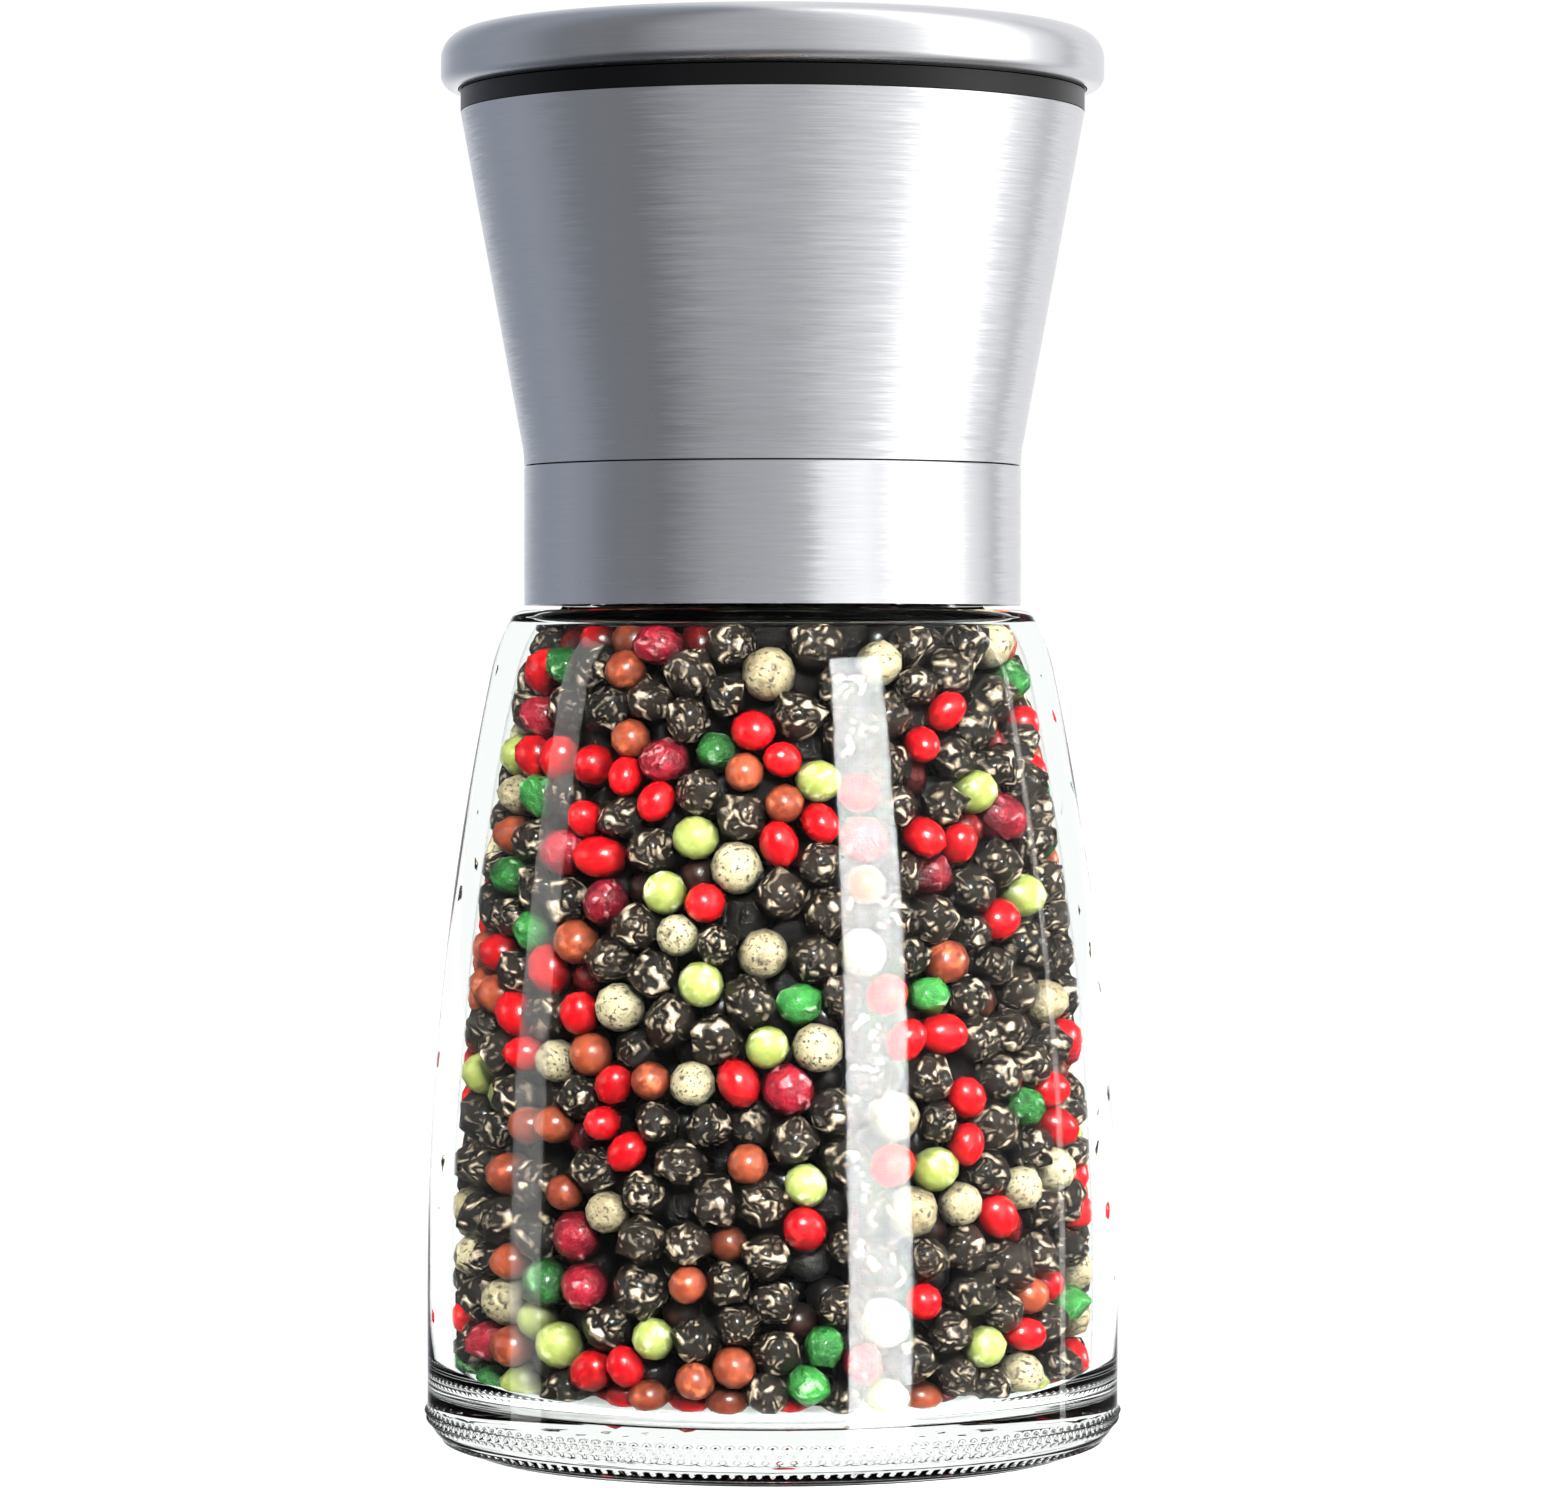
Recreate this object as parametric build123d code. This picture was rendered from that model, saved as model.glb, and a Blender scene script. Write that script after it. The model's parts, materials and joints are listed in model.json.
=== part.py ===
from build123d import *
import math
import os

# Pepper mill with a glass jar below and the grinding head on top.
# Millimetres, +Z up, origin at the centre of the jar's foot, on the surface the mill stands on.

# ---- glass jar
JAR_HEIGHT = 80.0           # foot to shoulder
JAR_RADIUS = 33.0
JAR_STRAIGHT_TOP = 15.0     # the side is upright up to here and leans in above
JAR_WAIST_RADIUS = 26.9     # where the leaning side meets the shoulder's rounding
JAR_SHOULDER_DROP = 6.0     # that waist, below the shoulder
JAR_SHOULDER_RADIUS = 24.5
JAR_WAIST_TILT = 7.6        # how far the glass faces up at the waist, in degrees
JAR_SHOULDER_TILT = 36.0    # and where the shoulder's rounding ends
JAR_WALL = 2.3
JAR_HEEL_RADIUS = 3.5       # rounding between the side and the foot
JAR_FOOT_HEIGHT = 0.5
JAR_FOOT_WIDTH = 3.2
JAR_PUNT_RISE = 1.8         # hollow under the base
JAR_FLOOR_THICKNESS = 3.3
JAR_INNER_CORNER = 4.0
NECK_RADIUS = 20.05
NECK_WALL = 2.45

# ---- screw thread between the jar's neck and the collar
THREAD_PITCH = 4.0
THREAD_DEPTH = 1.2
THREAD_BASE_WIDTH = 1.8
THREAD_CREST_WIDTH = 1.0
THREAD_CLEARANCE = 0.35     # radial, crest to wall
THREAD_PLAY = 0.4           # axial, collar's ridge to the middle of the jar's groove
JAR_THREAD_TURNS = 1.4
COLLAR_THREAD_TURNS = 1.0
THREAD_START = 2.8          # lowest turn of the jar's thread, above the shoulder
THREAD_ENTRY = 20.0         # degrees round from +X where both ridges begin
THREAD_ROOTING = 0.25       # how far a ridge's foot is sunk in its wall

# ---- peppercorns
FILL_CLEARANCE = 0.15       # to the glass
FILL_DROP = 1.5             # top of the heap, below the shoulder

# ---- collar and its steel ring
STEEL = 0.5                 # sheet thickness
RING_GAP = 0.5              # jar's shoulder to the ring
RING_HEIGHT = 13.2
RING_RADIUS = 23.7
RING_HEM = 0.8              # how far the ring's lower edge turns in
COLLAR_WALL = 1.6
DECK_THICKNESS = 2.0
DECK_DROP = 0.1             # deck's top, below the ring's top edge
GASKET_THICKNESS = 1.0
TURRET_RADIUS = 18.6
TURRET_WALL = 2.0
TURRET_HEIGHT = 7.4
BEAD_HEIGHT = 1.8           # snap bead round the top of the turret
BEAD_WIDTH = 0.7
BEAD_DROP = 0.5             # bead's top, below the turret's top
HUB_RADIUS = 5.5
HUB_BELOW_DECK = 2.6
HUB_HEIGHT = 7.0
ARM_WIDTH = 2.6
ARM_HEIGHT = 4.0
ARMS = 3

# ---- spindle, spring and rotating burr
SPINDLE_RADIUS = 2.5
SPINDLE_FLATS = 3.8         # across the two flats
SPINDLE_HEAD_FLATS = 8.0
SPINDLE_HEAD_HEIGHT = 2.5
SPINDLE_PITCH = 0.8
SPINDLE_THREAD_LENGTH = 5.6
SPINDLE_THREAD_DEPTH = 0.42
SPINDLE_CHAMFER = 0.4
HUB_FIT = 0.03              # radial, spindle in its hub
SLIDING_FIT = 0.08          # radial, carrier on spindle and nut on thread
CLIP_RADIUS = 4.4
CLIP_THICKNESS = 0.4
CLIP_SLOT = (0.9, 3.6)      # width, and how far out from the axis it runs
SPRING_WIRE = 0.8
SPRING_RADIUS = 3.75        # to the middle of the wire
SPRING_TURNS = 5.0
SPRING_LENGTH = 6.6
WASHER_RADIUS = 5.6
WASHER_THICKNESS = 0.5
CARRIER_SIDE = 6.6          # square that drives the ceramic
CARRIER_FIT = 0.06
CARRIER_FLANGE_RADIUS = 8.5
CARRIER_FLANGE_THICKNESS = 1.4
BURR_HEIGHT = 9.0
BURR_OUTER_RADIUS = 16.0
BURR_INLET_RADIUS = 10.6
BURR_OUTLET_RADIUS = 12.6
BURR_GAP = 0.5              # between the two sets of teeth at rest
BURR_TEETH = 24
BURR_TOOTH_DEPTH = 0.8
BURR_TWIST = 10.0           # degrees that the fine teeth turn through
FEED_TEETH = 8
FEED_TOOTH_DEPTH = 1.3
FEED_TWIST = 30.0
FEED_NOSE_RADIUS = 6.6
GRIND_BAND = 3.8            # height of the fine teeth on the inner burr

# ---- grinding head
SEAM_GAP = 0.2              # ring to sleeve
SLEEVE_HEIGHT = 33.6
SLEEVE_HEM = 1.0            # upright stretch at the sleeve's lower edge
SLEEVE_TOP_RADIUS = 29.75
SLEEVE_FIT = 0.05
LIP_HEIGHT = 1.9            # black band above the sleeve
LINER_WALL = 1.5
MOUTH_RADIUS = 26.6
MOUTH_DEPTH = 7.4           # upright bore that takes the lid's skirt
PARTITION_THICKNESS = 1.6
GLIDE_THICKNESS = 0.6
GLIDE_CLEARANCE = 0.05
SKIRT_WALL = 1.3
SKIRT_CLEARANCE = 0.3       # skirt to bead, and snap lip to turret
SNAP_HEIGHT = 2.4
SNAP_PLAY = 0.25            # snap lip to bead, along the axis
HOLDER_WALL = 1.6
HOLDER_FLOOR = 2.0
HOLDER_CLEARANCE = 0.6      # holder to turret, along the axis
HOLDER_FIT = 0.03
RETAINER_THICKNESS = 1.5
RETAINER_OVERLAP = 2.4      # how far it covers the ceramic
RETAINER_RIM = (1.1, 3.0)   # thickness and depth of the rim that grips the holder
RETAINER_GROOVE = 0.35      # snap groove round the holder

# ---- adjuster knob
KNOB_RADIUS = 6.6
KNOB_HEIGHT = 8.0
KNOB_GAP = 0.1
KNOB_FLUTES = 12
KNOB_FLUTE_RADIUS = 0.9
KNOB_ROUND = 0.8
KNOB_POINTER = (3.6, 1.2, 0.4)
NUT_FLATS = 8.0
NUT_HEIGHT = 4.0
KNOB_CAP = 1.0              # plastic left over the knob's bore, below its rounding
SPINDLE_HEADROOM = 1.6      # left above the spindle inside the knob

# ---- lid
LID_GAP = 0.2               # lip to the lid's rim
LID_HEIGHT = 5.4
LID_RADIUS = 31.6
LID_STEEL = 0.6
LID_TOP_ROUND = 2.6
LID_RIM_ROUND = 1.3
LID_RIM_INSIDE = 30.0       # radius of the opening that the rolled rim leaves
PLUG_FIT = 0.1
PLUG_REST = 0.1             # plug to lip, where the lid sits
PLUG_BOARD = 2.0
PLUG_UPSTAND = (26.5, 28.0)  # inner and outer radius of the rim that holds the cap's top up
PLUG_SKIRT_DEPTH = 6.0
PLUG_SKIRT_WALL = 2.2
PLUG_CLEARANCE = 0.35       # skirt to mouth
SEAL_SECTION = 1.6
SEAL_DROP = 2.2             # middle of the seal, below the lip
SEAL_SQUEEZE = 0.06         # left between seal and mouth

OVERSHOOT = 1.0             # how far a cutting shape passes the surface that it cuts

# ---- levels, from the foot up
deck_top = JAR_HEIGHT + RING_GAP + RING_HEIGHT - DECK_DROP
ring_bottom = JAR_HEIGHT + RING_GAP
ring_top = ring_bottom + RING_HEIGHT
deck_bottom = deck_top - DECK_THICKNESS
neck_top = deck_bottom - GASKET_THICKNESS
collar_bottom = ring_bottom + STEEL
turret_top = deck_top + TURRET_HEIGHT
bead_top = turret_top - BEAD_DROP
bead_bottom = bead_top - BEAD_HEIGHT
hub_bottom = deck_bottom - HUB_BELOW_DECK
hub_top = hub_bottom + HUB_HEIGHT
spring_bottom = hub_top + CLIP_THICKNESS
spring_top = spring_bottom + SPRING_LENGTH
washer_top = spring_top + WASHER_THICKNESS
sleeve_bottom = ring_top + SEAM_GAP
sleeve_top = sleeve_bottom + SLEEVE_HEIGHT
lip_top = sleeve_top + LIP_HEIGHT
glide_top = deck_top + GLIDE_THICKNESS
skirt_bottom = glide_top + GLIDE_CLEARANCE
snap_top = bead_bottom - SNAP_PLAY
holder_bottom = turret_top + HOLDER_CLEARANCE
burr_bottom = holder_bottom + HOLDER_FLOOR
burr_top = burr_bottom + BURR_HEIGHT
retainer_top = burr_top + RETAINER_THICKNESS
flange_top = retainer_top
flange_bottom = flange_top - CARRIER_FLANGE_THICKNESS
knob_bottom = flange_top + KNOB_GAP
knob_top = knob_bottom + KNOB_HEIGHT
nut_top = knob_bottom + NUT_HEIGHT
spindle_top = knob_top - KNOB_ROUND - KNOB_CAP - SPINDLE_HEADROOM
lid_bottom = lip_top + LID_GAP
lid_top = lid_bottom + LID_HEIGHT
plug_bottom = lip_top + PLUG_REST

# ---- radii that follow from the sizes above
mouth_of_jar = NECK_RADIUS - NECK_WALL
collar_outside = RING_RADIUS - STEEL
collar_inside = NECK_RADIUS + THREAD_DEPTH + THREAD_CLEARANCE
turret_inside = TURRET_RADIUS - TURRET_WALL
bead_radius = TURRET_RADIUS + BEAD_WIDTH
skirt_inside = bead_radius + SKIRT_CLEARANCE
snap_inside = TURRET_RADIUS + SKIRT_CLEARANCE
holder_inside = BURR_OUTER_RADIUS + HOLDER_FIT
holder_outside = holder_inside + HOLDER_WALL
seal_radius = MOUTH_RADIUS - SEAL_SQUEEZE - SEAL_SECTION / 2
plug_skirt_outside = MOUTH_RADIUS - PLUG_CLEARANCE

UP = (Align.CENTER, Align.CENTER, Align.MIN)


def cylinder(radius, bottom, top):
    """A round bar about Z between two levels."""
    return Pos(0, 0, bottom) * Cylinder(radius, top - bottom, align=UP)


def tube(inside, outside, bottom, top):
    """A plain ring about Z between two levels."""
    return cylinder(outside, bottom, top) - cylinder(inside, bottom - OVERSHOOT, top + OVERSHOOT)


def prism(flats, bottom, top, sides=6):
    """A regular prism about Z, by its size across flats."""
    outline = RegularPolygon(flats / 2, sides, major_radius=False)
    return extrude(Pos(0, 0, bottom) * outline, top - bottom)


def turned(*outline):
    """A closed outline of curves or (radius, height) points, turned about Z."""
    if isinstance(outline[0], tuple):
        outline = [Polyline(*outline, close=True)]
    return revolve(Plane.XZ * make_face(Curve() + list(outline)), Axis.Z)


def ridge(wall_radius, inwards, start, turns):
    """One screw ridge, its foot sunk in the wall, following the shared pitch."""
    side = -1 if inwards else 1
    path = Helix(THREAD_PITCH, THREAD_PITCH * turns, wall_radius, center=(0, 0, start))
    crest = THREAD_CREST_WIDTH / 2
    slope = (THREAD_BASE_WIDTH - THREAD_CREST_WIDTH) / 2 / THREAD_DEPTH
    foot = crest + slope * (THREAD_DEPTH + THREAD_ROOTING)
    section = Polyline(
        (-side * THREAD_ROOTING, -foot),
        (side * THREAD_DEPTH, -crest),
        (side * THREAD_DEPTH, crest),
        (-side * THREAD_ROOTING, foot),
        close=True,
    )
    plane = Plane(origin=path @ 0, x_dir=(1, 0, 0), z_dir=path % 0)
    return Rot(0, 0, THREAD_ENTRY) * sweep(plane * make_face(section), path=path, is_frenet=True)


def toothed(radius, depth, teeth, level, turn):
    """A star outline at one level: tooth tips on the radius and roots inside it."""
    step = 180.0 / teeth
    corners = []
    for n in range(2 * teeth):
        reach = radius if n % 2 == 0 else radius - depth
        angle = math.radians(n * step + turn)
        corners.append((reach * math.cos(angle), reach * math.sin(angle)))
    return Pos(0, 0, level) * make_face(Polyline(*corners, close=True))


def side_arcs(radius, straight_top, waist_radius, waist, end_radius, end):
    """The jar's leaning side and the shoulder's rounding, each tangent to what is below it."""
    lean = TangentArc((radius, straight_top), (waist_radius, waist), tangent=(0, 1))
    rounding = TangentArc((waist_radius, waist), (end_radius, end), tangent=lean % 1)
    return lean, rounding


def inner_outline(offset):
    """The jar's hollow, from the middle of its floor up to the mouth, brought in by an offset."""
    wall = JAR_WALL + offset
    radius = JAR_RADIUS - wall
    floor = JAR_PUNT_RISE + JAR_FLOOR_THICKNESS + offset
    mouth = mouth_of_jar - offset
    waist_tilt = math.radians(JAR_WAIST_TILT)
    waist_radius = JAR_WAIST_RADIUS - wall * math.cos(waist_tilt)
    waist = JAR_HEIGHT - JAR_SHOULDER_DROP - wall * math.sin(waist_tilt)
    crown_tilt = math.radians(JAR_SHOULDER_TILT)
    crown_radius = JAR_SHOULDER_RADIUS - wall * math.cos(crown_tilt)
    crown = JAR_HEIGHT - wall * math.sin(crown_tilt)
    lean, rounding = side_arcs(
        radius, JAR_STRAIGHT_TOP, waist_radius, waist, crown_radius, crown
    )
    corner = RadiusArc(
        (radius - JAR_INNER_CORNER, floor),
        (radius, floor + JAR_INNER_CORNER),
        -JAR_INNER_CORNER,
    )
    return [
        Line((0, floor), (radius - JAR_INNER_CORNER, floor)),
        corner,
        Line((radius, floor + JAR_INNER_CORNER), (radius, JAR_STRAIGHT_TOP)),
        lean,
        rounding,
        Line((crown_radius, crown), (mouth, crown)),
    ], (mouth, crown)


def glass_jar():
    foot_outside = JAR_RADIUS - JAR_HEEL_RADIUS
    foot_inside = foot_outside - JAR_FOOT_WIDTH
    heel = RadiusArc(
        (foot_outside, JAR_FOOT_HEIGHT),
        (JAR_RADIUS, JAR_FOOT_HEIGHT + JAR_HEEL_RADIUS),
        -JAR_HEEL_RADIUS,
    )
    lean, rounding = side_arcs(
        JAR_RADIUS,
        JAR_STRAIGHT_TOP,
        JAR_WAIST_RADIUS,
        JAR_HEIGHT - JAR_SHOULDER_DROP,
        JAR_SHOULDER_RADIUS,
        JAR_HEIGHT,
    )
    hollow, (mouth, crown) = inner_outline(0)
    floor = JAR_PUNT_RISE + JAR_FLOOR_THICKNESS
    jar = turned(
        Polyline(
            (0, floor),
            (0, JAR_PUNT_RISE),
            (foot_inside - JAR_PUNT_RISE, JAR_PUNT_RISE),
            (foot_inside, 0),
            (foot_outside - JAR_FOOT_HEIGHT, 0),
            (foot_outside, JAR_FOOT_HEIGHT),
        ),
        heel,
        Line((JAR_RADIUS, JAR_FOOT_HEIGHT + JAR_HEEL_RADIUS), (JAR_RADIUS, JAR_STRAIGHT_TOP)),
        lean,
        rounding,
        Polyline(
            (JAR_SHOULDER_RADIUS, JAR_HEIGHT),
            (NECK_RADIUS, JAR_HEIGHT),
            (NECK_RADIUS, neck_top),
            (mouth, neck_top),
            (mouth, crown),
        ),
        *hollow,
    )
    lip = jar.edges().filter_by(GeomType.CIRCLE).group_by(Axis.Z)[-1]
    jar = fillet(lip, NECK_WALL / 4)
    start = JAR_HEIGHT + THREAD_START
    return jar + ridge(NECK_RADIUS, False, start, JAR_THREAD_TURNS)


def peppercorns():
    """The heap of peppercorns as one closed solid, level on top and clear of the glass."""
    hollow, (mouth, crown) = inner_outline(FILL_CLEARANCE)
    heap = turned(
        *hollow,
        Polyline((mouth, crown), (mouth, JAR_HEIGHT), (0, JAR_HEIGHT), (0, hollow[0].start_point().Y)),
    )
    top = JAR_HEIGHT - FILL_DROP
    return heap - cylinder(JAR_RADIUS, top, JAR_HEIGHT + OVERSHOOT)


def neck_gasket():
    return tube(mouth_of_jar, NECK_RADIUS, neck_top, deck_bottom)


def neck_collar():
    """Threaded wall, deck, the turret that the head turns on, and the arms that hold the spindle."""
    wall = tube(collar_inside, collar_outside, collar_bottom, deck_bottom)
    deck = tube(turret_inside, collar_outside, deck_bottom, deck_top)
    bead = turned(
        (turret_inside, deck_top),
        (TURRET_RADIUS, deck_top),
        (TURRET_RADIUS, bead_bottom),
        (bead_radius, bead_bottom),
        (bead_radius, bead_top - BEAD_WIDTH),
        (TURRET_RADIUS, bead_top),
        (TURRET_RADIUS, turret_top),
        (turret_inside, turret_top),
    )
    hub = cylinder(HUB_RADIUS, hub_bottom, hub_top)
    reach = turret_inside + TURRET_WALL / 2
    along_x = (Align.MIN, Align.CENTER, Align.MIN)
    arm = Pos(0, 0, deck_bottom) * Box(reach, ARM_WIDTH, ARM_HEIGHT, align=along_x)
    body = wall + deck + bead + hub
    for n in range(ARMS):
        body += Rot(0, 0, 90 + 360 * n / ARMS) * arm
    bore = cylinder(SPINDLE_RADIUS + HUB_FIT, hub_bottom - OVERSHOOT, hub_top + OVERSHOOT)
    body -= bore & Box(SPINDLE_FLATS + 2 * HUB_FIT, 4 * SPINDLE_RADIUS, 4 * hub_top)
    start = JAR_HEIGHT + THREAD_START + THREAD_PITCH / 2 + THREAD_PLAY
    return body + ridge(collar_inside, True, start, COLLAR_THREAD_TURNS)


def lower_ring():
    """Steel ring pressed over the collar, its lower edge turned in under the plastic."""
    ring = tube(collar_outside, RING_RADIUS, ring_bottom, ring_top)
    return ring + tube(collar_outside - RING_HEM, RING_RADIUS, ring_bottom, collar_bottom)


def spindle():
    """Steel stud: hexagon head under the hub, two flats all the way up, threaded top end."""
    shank = cylinder(SPINDLE_RADIUS, hub_bottom, spindle_top)
    shank = chamfer(shank.edges().group_by(Axis.Z)[-1], SPINDLE_CHAMFER)
    thread = SPINDLE_THREAD_LENGTH - SPINDLE_PITCH
    start = spindle_top - SPINDLE_THREAD_LENGTH
    path = Helix(SPINDLE_PITCH, thread, SPINDLE_RADIUS, center=(0, 0, start))
    half = 0.4 * SPINDLE_PITCH
    groove = Polyline((-SPINDLE_THREAD_DEPTH, 0), (half, half), (half, -half), close=True)
    plane = Plane(origin=path @ 0, x_dir=(1, 0, 0), z_dir=path % 0)
    cutter = sweep(plane * make_face(groove), path=path, is_frenet=True)
    shank -= Rot(0, 0, THREAD_ENTRY) * cutter
    flats = Box(SPINDLE_FLATS, 4 * SPINDLE_RADIUS, 2 * spindle_top)
    head = prism(SPINDLE_HEAD_FLATS, hub_bottom - SPINDLE_HEAD_HEIGHT, hub_bottom)
    return (shank & flats) + head


def spindle_clip():
    """Push-on ring that keeps the spindle down in its hub."""
    ring = tube(SPINDLE_RADIUS, CLIP_RADIUS, hub_top, spring_bottom)
    width, reach = CLIP_SLOT
    slot = Box(width, reach, 1, align=(Align.CENTER, Align.MIN, Align.CENTER))
    for n in range(3):
        ring -= Pos(0, 0, hub_top) * Rot(0, 0, 120 * n) * slot
    return ring


def burr_spring():
    """Compression spring between the clip and the washer, its ends ground flat."""
    pitch = SPRING_LENGTH / SPRING_TURNS
    path = Helix(pitch, SPRING_LENGTH, SPRING_RADIUS, center=(0, 0, spring_bottom))
    plane = Plane(origin=path @ 0, x_dir=(1, 0, 0), z_dir=path % 0)
    coil = sweep(plane * Circle(SPRING_WIRE / 2), path=path, is_frenet=True)
    room = Box(4 * SPRING_RADIUS, 4 * SPRING_RADIUS, SPRING_LENGTH, align=UP)
    return coil & (Pos(0, 0, spring_bottom) * Rot(0, 0, THREAD_ENTRY) * room)


def spring_washer():
    return tube(SPINDLE_RADIUS + SLIDING_FIT, WASHER_RADIUS, spring_top, washer_top)


def burr_carrier():
    """Plastic core of the inner burr: it slides on the spindle's flats and drives the ceramic."""
    core = prism(CARRIER_SIDE, washer_top, flange_bottom, sides=4)
    flange = cylinder(CARRIER_FLANGE_RADIUS, flange_bottom, flange_top)
    bore = cylinder(
        SPINDLE_RADIUS + SLIDING_FIT, washer_top - OVERSHOOT, flange_top + OVERSHOOT
    )
    between_flats = Box(SPINDLE_FLATS + 2 * SLIDING_FIT, 4 * SPINDLE_RADIUS, 4 * flange_top)
    return core + flange - (bore & between_flats)


def inner_burr():
    """Ceramic cone: coarse feed teeth on the nose and fine teeth on the band above."""
    slope = (BURR_OUTLET_RADIUS - BURR_INLET_RADIUS) / BURR_HEIGHT
    top_radius = BURR_OUTLET_RADIUS - BURR_GAP
    band_bottom = flange_bottom - GRIND_BAND
    band_radius = top_radius - slope * GRIND_BAND
    nose = loft(
        [
            toothed(FEED_NOSE_RADIUS, FEED_TOOTH_DEPTH / 2, FEED_TEETH, washer_top, 0),
            toothed(band_radius, FEED_TOOTH_DEPTH, FEED_TEETH, band_bottom, FEED_TWIST),
        ],
        ruled=True,
    )
    band = loft(
        [
            toothed(band_radius, BURR_TOOTH_DEPTH, BURR_TEETH, band_bottom, 0),
            toothed(top_radius, BURR_TOOTH_DEPTH, BURR_TEETH, flange_bottom, BURR_TWIST),
        ],
        ruled=True,
    )
    side = CARRIER_SIDE + 2 * CARRIER_FIT
    socket = prism(side, washer_top - OVERSHOOT, flange_bottom + OVERSHOOT, sides=4)
    return nose + band - socket


def outer_burr():
    """Ceramic ring with teeth on the inside, widening towards the outlet."""
    ring = cylinder(BURR_OUTER_RADIUS, burr_bottom, burr_top)
    inlet = toothed(BURR_INLET_RADIUS + BURR_TOOTH_DEPTH, BURR_TOOTH_DEPTH, BURR_TEETH, burr_bottom, 0)
    outlet = toothed(
        BURR_OUTLET_RADIUS + BURR_TOOTH_DEPTH, BURR_TOOTH_DEPTH, BURR_TEETH, burr_top, BURR_TWIST
    )
    return ring - loft([inlet, outlet], ruled=True)


def burr_retainer():
    """Plastic ring that covers the edge of the ceramic ring and snaps round its holder."""
    hole = BURR_OUTER_RADIUS - RETAINER_OVERLAP
    thickness, depth = RETAINER_RIM
    grip = holder_outside + HOLDER_FIT
    rim = grip + thickness
    rim_bottom = burr_top - depth
    bevel = RETAINER_THICKNESS / 3
    return turned(
        (hole, burr_top),
        (grip, burr_top),
        (grip, rim_bottom + 2 * RETAINER_GROOVE),
        (grip - RETAINER_GROOVE, rim_bottom + RETAINER_GROOVE),
        (grip, rim_bottom),
        (rim, rim_bottom),
        (rim, retainer_top - bevel),
        (rim - bevel, retainer_top),
        (hole + bevel, retainer_top),
        (hole, retainer_top - bevel),
    )


def adjuster_knob():
    """Fluted plastic knob, closed on top, with a raised pointer."""
    knob = cylinder(KNOB_RADIUS, knob_bottom, knob_top)
    knob = fillet(knob.edges().group_by(Axis.Z)[-1], KNOB_ROUND)
    for n in range(KNOB_FLUTES):
        angle = 360 * n / KNOB_FLUTES
        flute = cylinder(KNOB_FLUTE_RADIUS, knob_bottom - OVERSHOOT, knob_top + OVERSHOOT)
        knob -= Rot(0, 0, angle) * Pos(KNOB_RADIUS + KNOB_FLUTE_RADIUS / 2, 0, 0) * flute
    knob -= prism(NUT_FLATS, knob_bottom - OVERSHOOT, nut_top)
    knob -= cylinder(
        SPINDLE_RADIUS + 2 * SLIDING_FIT, nut_top - OVERSHOOT, spindle_top + SPINDLE_HEADROOM
    )
    length, width, height = KNOB_POINTER
    pointer = Box(length, width, 2 * height, align=(Align.MIN, Align.CENTER, Align.CENTER))
    return knob + Pos(0, 0, knob_top) * pointer


def knob_nut():
    """Steel nut moulded into the knob."""
    return prism(NUT_FLATS, knob_bottom, nut_top) - cylinder(
        SPINDLE_RADIUS + SLIDING_FIT, knob_bottom - OVERSHOOT, nut_top + OVERSHOOT
    )


def sleeve_outside(level):
    """Outer radius of the flared sleeve at a level."""
    foot = sleeve_bottom + SLEEVE_HEM
    share = max(0.0, (level - foot) / (sleeve_top - foot))
    return RING_RADIUS + (SLEEVE_TOP_RADIUS - RING_RADIUS) * share


def head_sleeve():
    """Flared sheet-steel sleeve with a short upright hem at its lower edge."""
    hem = sleeve_bottom + SLEEVE_HEM
    return turned(
        (RING_RADIUS - STEEL, sleeve_bottom),
        (RING_RADIUS, sleeve_bottom),
        (RING_RADIUS, hem),
        (SLEEVE_TOP_RADIUS, sleeve_top),
        (SLEEVE_TOP_RADIUS - STEEL, sleeve_top),
        (RING_RADIUS - STEEL, hem),
    )


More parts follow.
